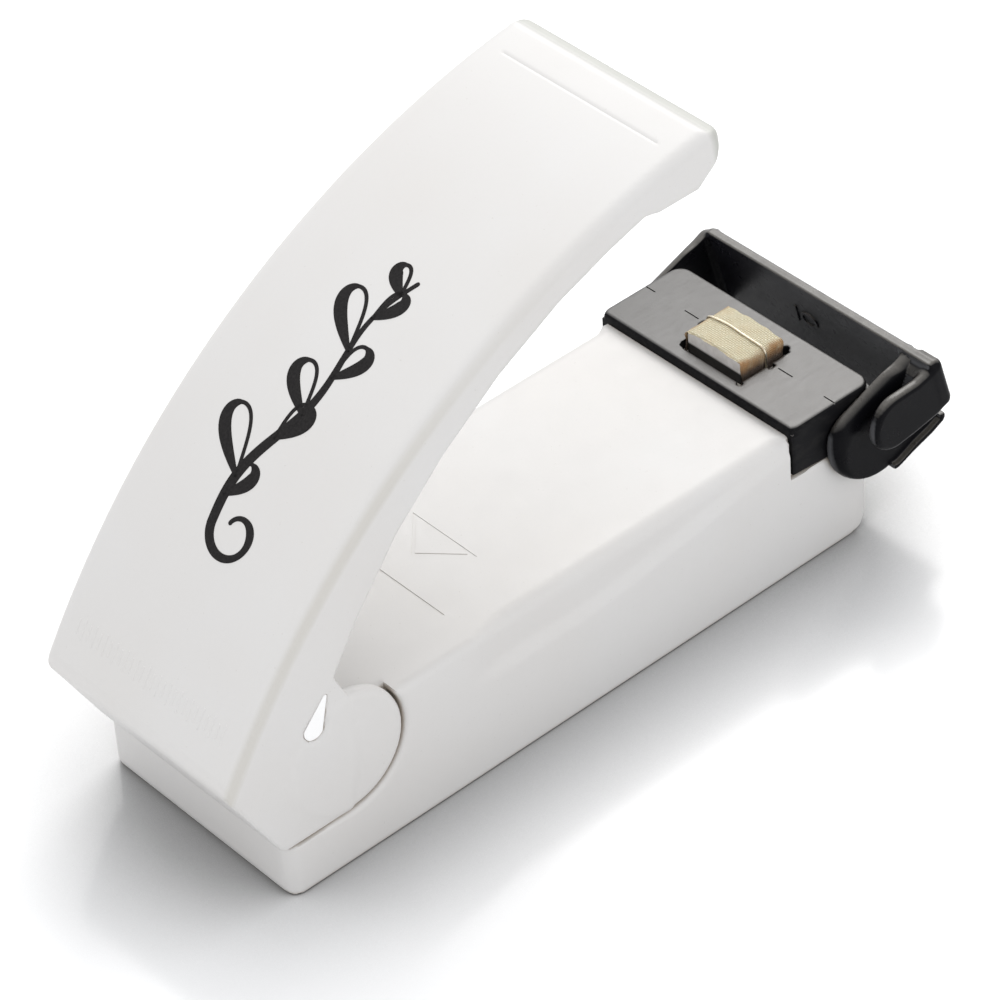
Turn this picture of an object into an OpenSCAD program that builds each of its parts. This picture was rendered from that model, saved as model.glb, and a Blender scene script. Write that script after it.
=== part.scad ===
// Handheld bag heat sealer: white base with a sprung heater head, arched press lever, black latch bail.
// Frame: +X from the hinge towards the heater head, +Y to the left, +Z up, origin at the middle of the
// underside. The lever is drawn open, which is the position its return spring holds.

/* [Base] */
// Width of the base across its side walls
body_w = 38; // [37:0.5:40]
// Height of the deck above the underside
deck_z = 23.9; // [23.5:0.1:25]
// Half length of the flat underside
foot_half_l = 51.4; // [51:0.2:52]
// Depth of the shallow recess along each flank
flank_recess = 0.7; // [0.3:0.1:0.9]

/* [Hinge] */
// Height of the hinge pin
hinge_z = 18.5; // [18.3:0.1:18.7]
// Radius of the round lobes of the lever
lobe_r = 9.6; // [9.2:0.1:9.7]
// Radius of the hinge pin
pin_r = 1.5; // [1.2:0.1:1.8]

/* [Lever] */
// Radius of the arched top of the lever
arch_r = 120.5; // [120:0.1:121]
// Thickness of the lever's shell
lever_t = 1.8; // [1.4:0.1:2]

/* [Head] */
// Height of the head plate's top face
plate_z = 25.5; // [25.4:0.1:25.8]
// Length of the heater block along the bag mouth
block_w = 10.9; // [9:0.1:11.2]
// Height of the cloth on top of the heater block
cloth_top_z = 28; // [27.8:0.05:28.1]
// Radius of the heating wire
wire_r = 0.22; // [0.15:0.01:0.25]

/* [Latch] */
// Radius of the round side lobes of the bail
bail_lobe_r = 8.6; // [8.4:0.1:8.8]
// Thickness of the bail's side arms
arm_t = 2.15; // [2:0.05:2.3]

/* [Batteries] */
// Radius of an AA cell
cell_r = 7.25; // [7:0.05:7.25]

/* [Hidden] */
$fn = 64;

// Colours shared by several nodes
shell_white = [0.93, 0.93, 0.91];
cover_white = [0.9, 0.9, 0.88];
spring_steel = [0.7, 0.7, 0.72];
switch_brass = [0.82, 0.68, 0.35];
contact_plating = [0.78, 0.78, 0.8];

// Base
half_w = body_w / 2;
wall = 1.6;
inner_half_w = half_w - wall - 0.4;
under_deck_z = deck_z - wall;
back_x = -foot_half_l - 0.5;
front_x = 55.2;
core_half_w = 16.4;            // casing between the lever's cheeks
core_round = [-43.5, 17.4];    // centre of the casing's rounded back corner, x and z
core_round_r = 6.5;
screw_x = [-45.6, 45.9];
screw_y = 12.4;
cover_t = 1.8;
cover_half_l = 49.6;
cover_half_w = 17.2;
cover_corner_r = 1.9;
door_hinge = [-28.2, cover_t / 2];  // axis of the battery door, x and z

// Lever and hinge
hinge = [-40.5, hinge_z];      // x and z
arch_centre = [43.5, -37.1];   // x and z
cheek_in = core_half_w + 0.3;  // inner face of the lever's cheeks
open_angle = 35;
pin_half_l = 17.5;
pad_low = [45.6, -9.4, 28.52]; // pad with the lever closed
pad_high = [50, 9.4, 29.5];
pad_gap = 0.03;

// Latch
pivot = [52, 18];              // x and z
stub_r = 2.5;
bail_lobe = [54.6, 19];        // x and z
arm_in = half_w + 0.45;        // inner and outer face of the bail's arms
arm_out = arm_in + arm_t;

// Heater
plate_half_w = 19.2;
block_x = [43.5, 51.4];
block_floor_z = 22.3;
block_half_w = block_w / 2;
cloth_t = 0.25;
wire_gap = 0.02;
wire_x = 47.9;
wire_y = block_half_w + cloth_t + wire_r + wire_gap;  // upright ends of the wire
wire_z = cloth_top_z + wire_r + wire_gap;             // straight run over the block
wire_foot_z = 17.2;
heater_spring_x = 47.45;
heater_spring_y = 9.3;

// Switch
switch_x = 43.4;
switch_tip_r = 0.8;
leaf_half_w = 1.6;

// Batteries
cell_y = 7.6;
cell_z = 10.3;
contact_x = [27.15, 27.6];     // end contact plates, x from and to
contact_foot_z = 5;
tab_y = 5.5;                   // middle of the solder tabs

// Points on an arc in n steps, angles in degrees
function arc(centre, radius, start, end, n) = [for (i = [0:n])
  let (angle = start + (end - start) * i / n)
  [centre[0] + radius * cos(angle), centre[1] + radius * sin(angle)]];

// A side-view outline (x, z) as a slab between two y values
module slab(y_from, y_to) {
  translate([0, y_to, 0]) rotate([90, 0, 0]) linear_extrude(y_to - y_from) children();
}
module mid_slab(half) { slab(-half, half) children(); }
// The same on the left (side = 1) or mirrored to the right (side = -1)
module side_slab(side, y_in, y_out) {
  slab(side > 0 ? y_in : -y_out, side > 0 ? y_out : -y_in) children();
}
module both_slabs(y_in, y_out) {
  for (side = [-1, 1]) side_slab(side, y_in, y_out) children();
}

// Cylinders along Y; at is [x, z]
module y_cylinder(at, radius, y_from, y_to) {
  translate([at[0], y_from, at[1]]) rotate([-90, 0, 0]) cylinder(r = radius, h = y_to - y_from);
}
module mid_cylinder(at, radius, half) { y_cylinder(at, radius, -half, half); }
module both_cylinders(at, radius, y_in, y_out) {
  y_cylinder(at, radius, y_in, y_out);
  y_cylinder(at, radius, -y_out, -y_in);
}

// Box between two corners
module box(low, high) { translate(low) cube(high - low); }
// Box over ranges [from, to] of x and z, reaching half to each side of y
module bar(x, half, z, y = 0) { box([x[0], y - half, z[0]], [x[1], y + half, z[1]]); }

// Children at a place and at its opposite across the middle plane, unmirrored
module at_sides(place) {
  for (side = [-1, 1]) translate([place[0], side * place[1], place[2]]) children();
}
module at_screws(z) { for (x = screw_x) at_sides([x, screw_y, z]) children(); }

// Plan outline with rounded corners
module plan(x_from, x_to, half, corner_r) {
  translate([x_from + corner_r, -half]) square([x_to - x_from - 2 * corner_r, 2 * half]);
  translate([x_from, -half + corner_r]) square([x_to - x_from, 2 * (half - corner_r)]);
  for (x = [x_from + corner_r, x_to - corner_r], side = [-1, 1])
    translate([x, side * (half - corner_r)]) circle(corner_r);
}

// Tube swept along a path, with flat closed ends
function unit(v) = v / norm(v);
module tube(path, radius, facets = 8) {
  last = len(path) - 1;
  tangents = [for (i = [0:last]) unit(path[min(i + 1, last)] - path[max(i - 1, 0)])];
  up = abs(tangents[0][2]) > 0.9 ? [0, 1, 0] : [0, 0, 1];
  // where the path runs along up, X takes its place
  across = [for (t = tangents) unit(cross(t, abs(t * up) > 0.98 ? [1, 0, 0] : up))];
  points = [for (i = [0:last], j = [0:facets - 1])
    let (angle = 360 * j / facets)
    path[i] + radius * (cos(angle) * across[i] + sin(angle) * cross(tangents[i], across[i]))];
  // two triangles for each facet between neighbouring rings
  skin = [for (i = [0:last - 1], j = [0:facets - 1], half = [0, 1])
    let (near = i * facets + j, near_next = i * facets + (j + 1) % facets, far = near + facets)
    half == 0 ? [far, near_next, near] : [far, near_next + facets, near_next]];
  start_cap = [for (j = [0:facets - 1]) j];
  end_cap = [for (j = [facets - 1:-1:0]) last * facets + j];
  polyhedron(points, concat(skin, [start_cap], [end_cap]));
}
// Path of a coil about Z
function coil(r_from, r_to, z_from, z_to, turns, per_turn) = [for (i = [0:turns * per_turn])
  let (u = i / (turns * per_turn), radius = r_from + (r_to - r_from) * u)
  [radius * cos(360 * turns * u), radius * sin(360 * turns * u), z_from + (z_to - z_from) * u]];

// Side outline of the full-width part of the base
module base_side() {
  shoulder_r = 10;
  back = [[0.4 - foot_half_l, 0], [-foot_half_l - 0.2, 0.5], [back_x, 1.4], [back_x, 8.5],
    [hinge[0], 8.5]];
  front = [[54.4, deck_z], [55, deck_z - 0.3], [front_x, deck_z - 0.9], [front_x, 4.4],
    [54.9, 2.9], [54, 1.4], [52.9, 0.5], [foot_half_l, 0]];
  shoulder = arc(hinge, shoulder_r, -88, asin((deck_z - hinge_z) / shoulder_r), 20);
  polygon(concat(back, shoulder, front));
}
// Side outline of the narrower casing between the lever's cheeks
module core_side() {
  polygon(concat([[-50, 2], [-50, 14.5]], arc(core_round, core_round_r, 180, 90, 10),
    [[-25, deck_z], [-25, 2]]));
}
module base_solid() {
  intersection() {
    union() {
      mid_slab(half_w) base_side();
      mid_slab(core_half_w) core_side();
    }
    translate([0, 0, -1]) linear_extrude(40) plan(back_x, front_x, half_w, 2.5);
  }
}
// Inside space of the base, less the parts that stand in it
module base_hollow() {
  core_hollow = concat([[-49.9, -1], [-49.9, 6.6], [-48.4, 7.6]],
    arc(core_round, core_round_r - wall, 180, 90, 8), [[-25, under_deck_z], [-25, -1]]);
  difference() {
    union() {
      bar([-30, 53.4], inner_half_w, [-1, under_deck_z]);
      mid_slab(14.4) polygon(core_hollow);
      bar([-49.9, -29], inner_half_w, [-1, 6.6]);
    }
    // bulkheads at both ends of the battery bay
    for (x = [[-30.2, -28.6], [27.75, 29.3]]) bar(x, 18, [2.2, 17.2]);
    // ridge between the two cells
    mid_slab(0.25) polygon([[-28.7, 22.5], [28, 22.5], [28, 17.4], [-28.7, 17.4]]);
    // seat under the heater
    bar([40.2, 54], 18, [9.2, 11]);
    // bosses for the case screws
    at_screws(cover_t + 0.1) cylinder(r = 2.7, h = 9.1);
    // lugs for the hinge pin
    both_cylinders(hinge, 3.6, 12.4, 14.5);
    // post for the fixed switch leaf
    bar([41.2, 45.2], 2.2, [10.5, 17.4]);
  }
}
module base_housing() color(shell_white) {
  skirt_seat = [[39.8, 25], [39.8, 16.9], [50, 16.4], [56, 16.4], [56, 25]];
  flank = [[-19.5, 25], [-19.5, 15.9], [-12, 15.8], [4, 15.8], [14, 17], [24, 18.6],
    [33.8, 20.4], [39.9, 21.2], [39.9, 25]];
  cover_gap = 0.1;
  cover_end = cover_half_l + cover_gap;
  difference() {
    base_solid();
    base_hollow();
    // room for the bottom cover
    translate([0, 0, -1]) linear_extrude(cover_t + cover_gap + 1)
      plan(-cover_end, cover_end, cover_half_w + cover_gap, cover_corner_r + cover_gap);
    // opening under the head plate
    bar([41, 53.8], 12.5, [deck_z - 3, deck_z + 1]);
    // slot for the return spring
    bar([-60, -25.5], 3.6, [8.6, deck_z + 1]);
    // bore for the hinge pin
    mid_cylinder(hinge, pin_r + 0.05, 20);
    // seats for the skirts of the head plate, at the sides and the front
    both_slabs(half_w - 0.85, half_w + 1) polygon(skirt_seat);
    bar([54.5, 56], 20, [16.4, 25]);
    // long shallow recesses along the flanks
    both_slabs(half_w - flank_recess, half_w + 1) polygon(flank);
    // pilot holes in the bosses
    at_screws(-1) cylinder(r = 1.1, h = 10);
    // line across the deck, and an outlined triangle pointing to the hinge
    bar([-17.8, -17.35], 12.2, [deck_z - 0.35, deck_z + 1]);
    translate([0, 0, deck_z - 0.25]) linear_extrude(1) difference() {
      polygon([[-6.6, -6.5], [-6.6, 6.5], [-12.6, 0]]);
      polygon([[-7.1, -5.3], [-7.1, 5.3], [-11.9, 0]]);
    }
  }
}

module base_bottom_cover() color(cover_white) difference() {
  linear_extrude(cover_t) plan(-cover_half_l, cover_half_l, cover_half_w, cover_corner_r);
  // opening for the door, and sockets for its pivots
  bar([-29.2, 30.3], 15.5, [-1, 3]);
  mid_cylinder(door_hinge, 0.5, 16.4);
  // countersunk screw holes
  at_screws(-1) {
    cylinder(r = 1.3, h = 4);
    cylinder(r = 2.6, h = 2);
  }
}

module battery_door() color(cover_white) difference() {
  door_half_w = 15.3;
  union() {
    bar([door_hinge[0], 30.15], door_half_w, [0, cover_t]);
    mid_cylinder(door_hinge, cover_t / 2, door_half_w);
    mid_cylinder(door_hinge, 0.45, 16.2);
  }
  // finger grooves
  for (i = [0:3]) bar([20 + 2 * i, 21 + 2 * i], 6, [-1, 0.4]);
}

module head_plate_solid() {
  back = 39.9;
  front = 55.4;
  skirt_z = 16.6;
  skirt_top_z = deck_z + 0.1;
  intersection() {
    bar([back, front], plate_half_w, [deck_z + 0.01, plate_z]);
    translate([0, 0, 20]) linear_extrude(10) plan(39.5, front, plate_half_w, 2);
  }
  // skirts at the sides and the front
  both_slabs(half_w - 0.8, plate_half_w) polygon([[back, skirt_top_z], [back, 17.5],
    [50, skirt_z], [55.3, skirt_z], [55.3, skirt_top_z]]);
  bar([54.6, front], 19, [skirt_z, skirt_top_z]);
  // stubs the bail turns on
  both_cylinders(pivot, stub_r, 19, 20.9);
  // rails that keep the plate in place inside the casing
  for (side = [-1, 1]) bar([41.4, 53.4], 0.35, [deck_z - 2.6, skirt_top_z], side * 12.1);
}
module head_plate() color([0.12, 0.12, 0.12]) {
  window = [[42.2, -6.5], [51.95, -6.5], [51.95, 6], [43, 6], [42.2, 5.2]];
  marks = [[18, 1.1], [9.4, 1.3]];  // middle y and half length
  difference() {
    union() head_plate_solid();
    // window for the heater block, with reliefs for the wire and at two corners
    translate([0, 0, 20]) linear_extrude(10) polygon(window);
    for (side = [-1, 1]) bar([wire_x - 0.6, wire_x + 0.6], 0.7, [20, 30], side * 6.6);
    translate([42.2, -6.5, 20]) cylinder(r = 0.45, h = 10);
    translate([52.1, -5.5, 20]) cylinder(r = 0.5, h = 10);
    // short marks in line with the heating wire
    for (side = [-1, 1], mark = marks)
      bar([wire_x + 0.15, wire_x + 0.5], mark[1], [plate_z - 0.25, 30], side * mark[0]);
  }
}

// Side outline of the lever's outer surface, without the lobes
module lever_outer() {
  tip_r = 2;            // rounds off the tip where the top runs out
  tip_angle = 98.014;   // direction of the tip's centre from the arch centre
  tip_centre = arch_centre + (arch_r - tip_r) * [cos(tip_angle), sin(tip_angle)];
  underside = [[-59.9, 23.4], [-59.6, 22.3], [-52.6, 9.5], [-51.8, 8.9], [hinge[0], 8.9],
    [hinge[0] + 2, 18], [-39.2, 27.8], [-41.3, 32.4], [-36.7, 39.5], [-29.1, 49.1],
    [-20.6, 56.9], [-10.7, 64], [-0.2, 69.6], [8.7, 73], [15.1, 74.9], [17.6, 74.3],
    [24.5, 74.3], [27.6, 76.8], [29, 79.2]];
  polygon(concat(arc(tip_centre, tip_r, 7.6, tip_angle, 12),
    arc(arch_centre, arch_r, 98.5, 149, 40), underside));
}
// Side outline of the hollow of the channel
module lever_inner() {
  polygon(concat(arc(arch_centre, arch_r - lever_t, 100.7, 148.6, 40),
    [[-57.9, 23.2], [-50.4, 9.6], [-50, 4], [-20, 4], [30, 60], [30, 74], [20, 74]]));
}
// From the closed position of the lever to the open one
module turned_up() {
  translate([hinge[0], 0, hinge_z]) rotate([0, -open_angle, 0])
    translate([-hinge[0], 0, -hinge_z]) children();
}
module lever_solid() {
  cheek = [[-52.2, 9.5], [-58.4, 22.6], [-56.5, 24], [-45, 33], [-40.5, 30], [-39.2, 27.8],
    [hinge[0], 8.9]];
  nose = [[19.8, 80.2], [27.6, 80.2], [28.4, 79], [26.9, 77.2], [21.9, 76.2], [19.2, 79.4]];
  web = [[-42.6, 45.4], [-37.6, 39.6], [-38.6, 38.7], [-43.9, 44.9]];
  difference() {
    mid_slab(half_w) lever_outer();
    mid_slab(half_w - lever_t - 0.1) lever_inner();
  }
  both_slabs(cheek_in, half_w) translate(hinge) circle(lobe_r);
  both_slabs(cheek_in, half_w - 0.5) polygon(cheek);
  // nose that carries the pad
  mid_slab(10.5) polygon(nose);
  // cross web the return spring pushes on
  mid_slab(17.3) polygon(web);
}
module press_lever() color(shell_white) difference() {
  tip_ledge = [[50.6, 33], [50.75, 32.3], [51.18, 31.31], [51.32, 31.22], [53, 30.19], [53, 33]];
  union() lever_solid();
  // blind holes for the pin, and small drop-shaped hollows above the lobes
  mid_cylinder(hinge, pin_r, pin_half_l + 0.1);
  both_slabs(half_w - 0.5, half_w + 1) hull() {
    translate([-45.2, 26]) circle(1.8, $fn = 32);
    translate([-43, 30.2]) circle(0.35, $fn = 32);
  }
  // grip line across the top near the tip
  mid_slab(15) polygon([[20.8, 83.2], [21.2, 81.05], [21.6, 83.2]]);
  // keep the hollow clear of the casing
  mid_slab(cheek_in) translate(hinge) circle(12);
  // pocket for the pad and room for the heater block, cut in the closed position
  turned_up() {
    box([pad_low[0] - pad_gap, pad_low[1] - pad_gap, 28], pad_high + pad_gap * [1, 1, 1]);
    bar([42, 53.5], 6.5, [25, 28.6]);
    // ledge along the tip that the bail's rim hooks over
    mid_slab(20) polygon(tip_ledge);
  }
}

module pressure_pad() color([0.75, 0.3, 0.22]) turned_up() box(pad_low, pad_high);

module hinge_pin() color([0.75, 0.75, 0.77]) mid_cylinder(hinge, pin_r, pin_half_l);

// Coil round the hinge pin, one leg forward into the base and one up to the lever's web
module lever_return_spring() color(spring_steel) {
  half_l = 2.6;
  coil_r = 2.4;
  turns = [for (p = coil(coil_r, coil_r, -half_l, half_l, 5, 20))
    [hinge[0] + p[0], p[2], hinge_z + p[1]]];
  base_leg = [[-28.6, -half_l, 16.2], [hinge[0] + 3, -half_l, hinge_z - 2.2]];
  lever_leg = [[hinge[0] + 1.9, half_l, hinge_z + 5], [-39.9, half_l, 32], [-39.5, half_l, 38.3]];
  tube(concat(base_leg, turns, lever_leg), 0.45);
}

// Side outline of the bail's arm, drawn in by inset
module arm_side(inset = 0) {
  front = -inset / 4;
  intersection() {
    union() {
      translate(bail_lobe - [0, inset / 3]) circle(bail_lobe_r - inset);
      polygon([[50, 24 - inset], [61, 28 - inset], [62, 28 - inset], [62.9 + front, 27.2 - inset],
        [66.6 + front, 14.6], [66.2 + front, 13.9], [64 + front, 12.9 + inset / 5],
        [57.1, 10.8 + inset / 2], [50, 20]]);
    }
    // the top edge falls away from the rim towards the lobe
    polygon([[40, 20.1 - inset], [61.2, 27.9 - inset], [62, 28.05 - inset],
      [70, 28.05 - inset], [70, 0], [40, 0]]);
  }
}
module latch_bail() color([0.1, 0.1, 0.1]) difference() {
  cross_wall = [[60.8, 28], [62.1, 28.1], [62.9, 27.4], [66.6, 14.4], [66.2, 13.9], [64.5, 13.6]];
  tab = [[54.4, 26.2], [58.5, 26.3], [61, 26.9], [62.6, 27.8], [63.1, 27.2], [65, 20.6],
    [64.6, 19.6], [62.6, 18.6], [54.4, 17.4]];
  tab_joint = [[61, 27.2], [61.4, 27.6], [62.3, 28], [63, 27.3], [65.1, 20.2], [62.7, 19.9]];
  union() {
    // arms, bevelled towards their outer faces
    for (side = [-1, 1]) hull() {
      side_slab(side, arm_in, arm_in + 0.5) arm_side();
      side_slab(side, arm_out - 0.05, arm_out) arm_side(2);
    }
    mid_slab(arm_in + 0.1) polygon(cross_wall);
    // thumb tab on the right-hand side, joined to the end of the cross wall
    slab(-25.2, -23.4) {
      translate([54.4, 21.8]) circle(4.4);
      polygon(tab);
    }
    slab(-23.6, -21.2) polygon(tab_joint);
  }
  // blind sockets for the pivot stubs
  mid_cylinder(pivot, stub_r + 0.06, 21);
}

module heater_carrier() color([0.85, 0.84, 0.8]) difference() {
  union() {
    bar([41.6, 53.3], 11.4, [20.8, 23.8]);
    // pegs inside the springs
    at_sides([heater_spring_x, heater_spring_y, 14]) cylinder(r = 1.2, h = 7);
  }
  bar(block_x, block_half_w, [block_floor_z, 30]);
  // holes for the wire
  at_sides([wire_x, block_half_w + 0.5, 15]) cylinder(r = 0.3, h = 10);
}

module heater_block() color([0.92, 0.91, 0.9])
  bar(block_x, block_half_w, [block_floor_z, cloth_top_z - cloth_t]);

// Cloth over the top and both ends of the block
module ptfe_cover() color([0.84, 0.76, 0.6]) difference() {
  bar(block_x, block_half_w + cloth_t, [23.82, cloth_top_z]);
  bar(block_x + [-1, 1], block_half_w, [20, cloth_top_z - cloth_t]);
}

module heating_wire() color([0.8, 0.77, 0.66]) {
  bend_r = 0.6;
  bend_y = wire_y - bend_r;
  bend_z = wire_z - bend_r;
  mid_cylinder([wire_x, wire_z], wire_r, bend_y);
  for (side = [-1, 1])
    translate([wire_x, side * bend_y, bend_z])
      rotate([0, -90, 0]) rotate([0, 0, side > 0 ? 0 : -90])
        rotate_extrude(angle = 90) translate([bend_r, 0]) circle(wire_r);
  at_sides([wire_x, wire_y, wire_foot_z]) cylinder(r = wire_r, h = bend_z - wire_foot_z);
}

module wire_terminals() color([0.8, 0.68, 0.38])
  at_sides([wire_x, wire_y, 0]) difference() {
    translate([0, 0, 16.6]) cylinder(r = 0.75, h = 3.6);
    translate([0, 0, wire_foot_z]) cylinder(r = wire_r, h = 5);
  }

module heater_springs() color(spring_steel)
  at_sides([heater_spring_x, heater_spring_y, 0]) tube(coil(1.7, 1.7, 11.35, 20.45, 6, 16), 0.3, 6);

module switch_moving_contact() color(switch_brass) {
  bar([42.6, 47], leaf_half_w, [20.5, 20.79]);
  translate([switch_x, 0, 19.9]) cylinder(r = switch_tip_r, h = 0.65);
}

module switch_fixed_contact() color(switch_brass) {
  leaf_z = [17.41, 17.7];
  bar([41.3, 45.1], leaf_half_w, leaf_z);
  translate([switch_x, 0, 17.65]) cylinder(r = switch_tip_r, h = 0.75);
  // leg down the back of the post, and the corner that joins it
  bar([40.7, 41], leaf_half_w, [12, leaf_z[1]]);
  bar([40.8, 41.4], leaf_half_w, leaf_z);
}

// Cell along +X from x = 0, positive nub at the far end
module cell() {
  rotate([0, 90, 0]) cylinder(r = cell_r, h = 49.1);
  translate([49, 0, 0]) rotate([0, 90, 0]) cylinder(r = 2.75, h = 1.4);
}
module battery_cell_left() color([0.25, 0.4, 0.3]) translate([-23.4, cell_y, cell_z]) cell();
module battery_cell_right() color([0.25, 0.4, 0.3])
  translate([22.4, -cell_y, cell_z]) rotate([0, 0, 180]) cell();

// Tapering spring that points along +X (direction = 1) or -X (direction = -1)
module contact_spring(x, y, direction) {
  translate([x, y, cell_z]) rotate([0, direction * 90, 0])
    tube(coil(4.2, 2.6, 0.3, 4.2, 4, 16), 0.35, 6);
}
// Plate with a solder tab at the front end of one cell
module end_contact(side) {
  bar(contact_x, 5.25, [contact_foot_z, 18.6], side * 7.25);
  bar([contact_x[0], 30], 1.5, [18.5, 18.9], side * tab_y);
}
module battery_bridge_contact() color(contact_plating) {
  bar([-28.5, -28.05], 12.5, [contact_foot_z, 15.5]);
  contact_spring(-28.1, cell_y, 1);
}
module battery_positive_contact() color(contact_plating) end_contact(1);
module battery_negative_contact() color(contact_plating) {
  end_contact(-1);
  contact_spring(27.2, -cell_y, -1);
}

// Lead from a battery tab to just short of its terminal, bowed outwards on the way
module lead(side) {
  start_x = 28.4;
  end_x = wire_x - 1.15;
  bow = 4.6;
  path = [for (i = [0:20]) let (u = i / 20) [
    start_x + (end_x - start_x) * u,
    side * (tab_y + bow * sin(180 * u) * (1 - u) + (wire_y - tab_y) * u),
    19.65 - 1.95 * u * u]];
  tube(path, 0.65, 10);
}
module lead_wire_positive() color([0.75, 0.12, 0.1]) lead(1);
module lead_wire_negative() color([0.08, 0.08, 0.08]) lead(-1);

module case_screws() color(spring_steel) at_screws(0) difference() {
  head_z = 0.15;
  union() {
    translate([0, 0, head_z]) cylinder(r = 2.4, h = 0.84);
    cylinder(r = 1.05, h = 8);
    translate([0, 0, head_z]) cylinder(r = 1.06, h = 7);
  }
  // cross slot
  box([-1.5, -0.3, -1], [1.5, 0.3, 0.6]);
  box([-0.3, -1.5, -1], [0.3, 1.5, 0.6]);
}

base_housing();
base_bottom_cover();
battery_door();
head_plate();
press_lever();
pressure_pad();
hinge_pin();
lever_return_spring();
latch_bail();
heater_carrier();
heater_block();
ptfe_cover();
heating_wire();
wire_terminals();
heater_springs();
switch_moving_contact();
switch_fixed_contact();
battery_cell_left();
battery_cell_right();
battery_bridge_contact();
battery_positive_contact();
battery_negative_contact();
lead_wire_positive();
lead_wire_negative();
case_screws();
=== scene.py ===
"""Looks of a handheld bag heat sealer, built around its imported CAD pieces.

Lengths are millimetres and become metres as the meshes are made. x runs from the hinge (-x)
to the heated head and the latch (+x), y runs across, and z is up from the underside.
The lever is modelled open; turning it 35 degrees about the hinge closes it.
"""
import math
from itertools import product

import bpy
import bmesh
import numpy as np
from mathutils import Matrix, Vector


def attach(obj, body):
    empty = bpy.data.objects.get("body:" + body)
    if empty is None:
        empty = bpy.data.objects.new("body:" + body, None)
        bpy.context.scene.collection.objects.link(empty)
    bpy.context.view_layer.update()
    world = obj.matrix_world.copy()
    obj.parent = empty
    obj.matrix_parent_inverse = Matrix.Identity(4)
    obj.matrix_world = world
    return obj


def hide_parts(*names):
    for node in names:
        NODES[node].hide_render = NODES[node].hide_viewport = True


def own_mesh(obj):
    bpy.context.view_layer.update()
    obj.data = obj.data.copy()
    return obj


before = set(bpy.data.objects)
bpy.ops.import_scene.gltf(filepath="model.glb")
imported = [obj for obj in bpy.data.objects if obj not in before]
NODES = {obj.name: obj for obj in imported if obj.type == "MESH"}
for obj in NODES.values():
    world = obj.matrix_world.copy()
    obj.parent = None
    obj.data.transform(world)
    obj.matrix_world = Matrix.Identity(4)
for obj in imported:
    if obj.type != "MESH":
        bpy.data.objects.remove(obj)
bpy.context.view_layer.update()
MM = 0.001
COARSE = 1.0     # factor on the grid cells of the meshed shells

# ---------------------------------------------------------------- driving dimensions
HINGE = HINGE_X, HINGE_Z = -40.5, 18.5
ARCH = ARCH_X, ARCH_Z = 43.5, -37.1     # centre of the lever's arched top
ARCH_R = 120.5
LATCH = LATCH_X, LATCH_Z = 52.0, 18.0   # latch pivot
LATCH_PIN_R = 2.5
BASE_X0, BASE_X1 = -51.9, 55.2
HALF_WIDTH = 19                         # of the base and the lever
LOBE_R = 10                             # round end of the base about the hinge
DECK_Z = 23.9
PLATE_X0, PLATE_Z = 39.9, 25.5          # hinge-side face and top of the head plate
WIRE_X = 47.9
OPEN_COS = math.cos(math.radians(35))
OPEN_SIN = math.sin(math.radians(35))
DROP = DROP_X, DROP_Z = -45.2, 26.0     # round end of the lever's drop-shaped hollows
DROP_DX, DROP_DZ = 2.2, 4.2             # from there to the narrow end


def arc(centre, radius, start, stop, steps):
    """Points of a circular arc, angles in degrees."""
    angles = [math.radians(start + (stop - start) * i / steps) for i in range(steps + 1)]
    return [(centre[0] + radius * math.cos(a), centre[1] + radius * math.sin(a)) for a in angles]


# ---------------------------------------------------------------- side outlines, (x, z) points
BASE_SIDE = (
    [(BASE_X0 + 0.9, 0), (-51.6, 0.5), (BASE_X0, 1.4), (BASE_X0, 8.5), (HINGE_X, 8.5)]
    + arc(HINGE, LOBE_R, -88, math.degrees(math.asin((DECK_Z - HINGE_Z) / LOBE_R)), 40)
    + [(54.4, DECK_Z), (55, DECK_Z - 0.3), (BASE_X1, DECK_Z - 0.9), (BASE_X1, 4.4),
       (54.9, 2.9), (54, 1.4), (52.9, 0.5), (51.4, 0)])
CORE_ARC = (-43.5, 17.4)                # centre of the core's rounded hinge end
CORE_SIDE = ([(-50, 2), (-50, 14.5)] + arc(CORE_ARC, 6.5, 180, 90, 16)
             + [(-25, DECK_Z), (-25, 2)])
FLANK = [(-19.5, 27), (-19.5, 15.9), (-12, 15.8), (4, 15.8), (14, 17), (24, 18.6),
         (33.8, 20.4), (39.9, 21.2), (39.9, 27)]
SKIRT_SEAT = [(39.8, 27), (39.8, 16.9), (50, 16.4), (58, 16.4), (58, 27)]

LEVER_REST = [
    (-59.9, 23.4), (-59.6, 22.3), (-52.6, 9.5), (-51.8, 8.9), (HINGE_X, 8.9), (HINGE_X + 2, 18),
    (-39.2, 27.8), (-41.3, 32.4), (-36.7, 39.5), (-29.1, 49.1), (-20.6, 56.9), (-10.7, 64),
    (-0.2, 69.6), (8.7, 73), (15.1, 74.9), (17.6, 74.3), (24.5, 74.3), (27.6, 76.8),
    (28.75, 78.85), (28.95, 79.4), (28.97, 80.5)]
LEVER_OUT = (arc(ARCH, ARCH_R + 3, 96.5, 149, 48) + arc(ARCH, ARCH_R, 149, 149, 1)[:1]
             + LEVER_REST + [(29.4, 83)])
LEVER_IN = arc(ARCH, ARCH_R + 1, 100.7, 148.6, 48) + [
    (-57.9, 23.2), (-50.4, 9.6), (-50, 4), (-20, 4), (30, 60), (30, 74), (20, 74)]
CHEEK = [(-52.2, 9.5), (-58.4, 22.6), (-56.5, 24), (-45, 33), (-40.5, 30), (-39.2, 27.8),
         (HINGE_X, 8.9)]
NOSE = [(19.8, 79.9), (27.6, 79.6), (28.4, 79), (26.9, 77.2), (21.9, 76.2), (19.2, 79.4)]
WEB = [(-42.6, 45.4), (-37.6, 39.6), (-38.6, 38.7), (-43.9, 44.9)]
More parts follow.
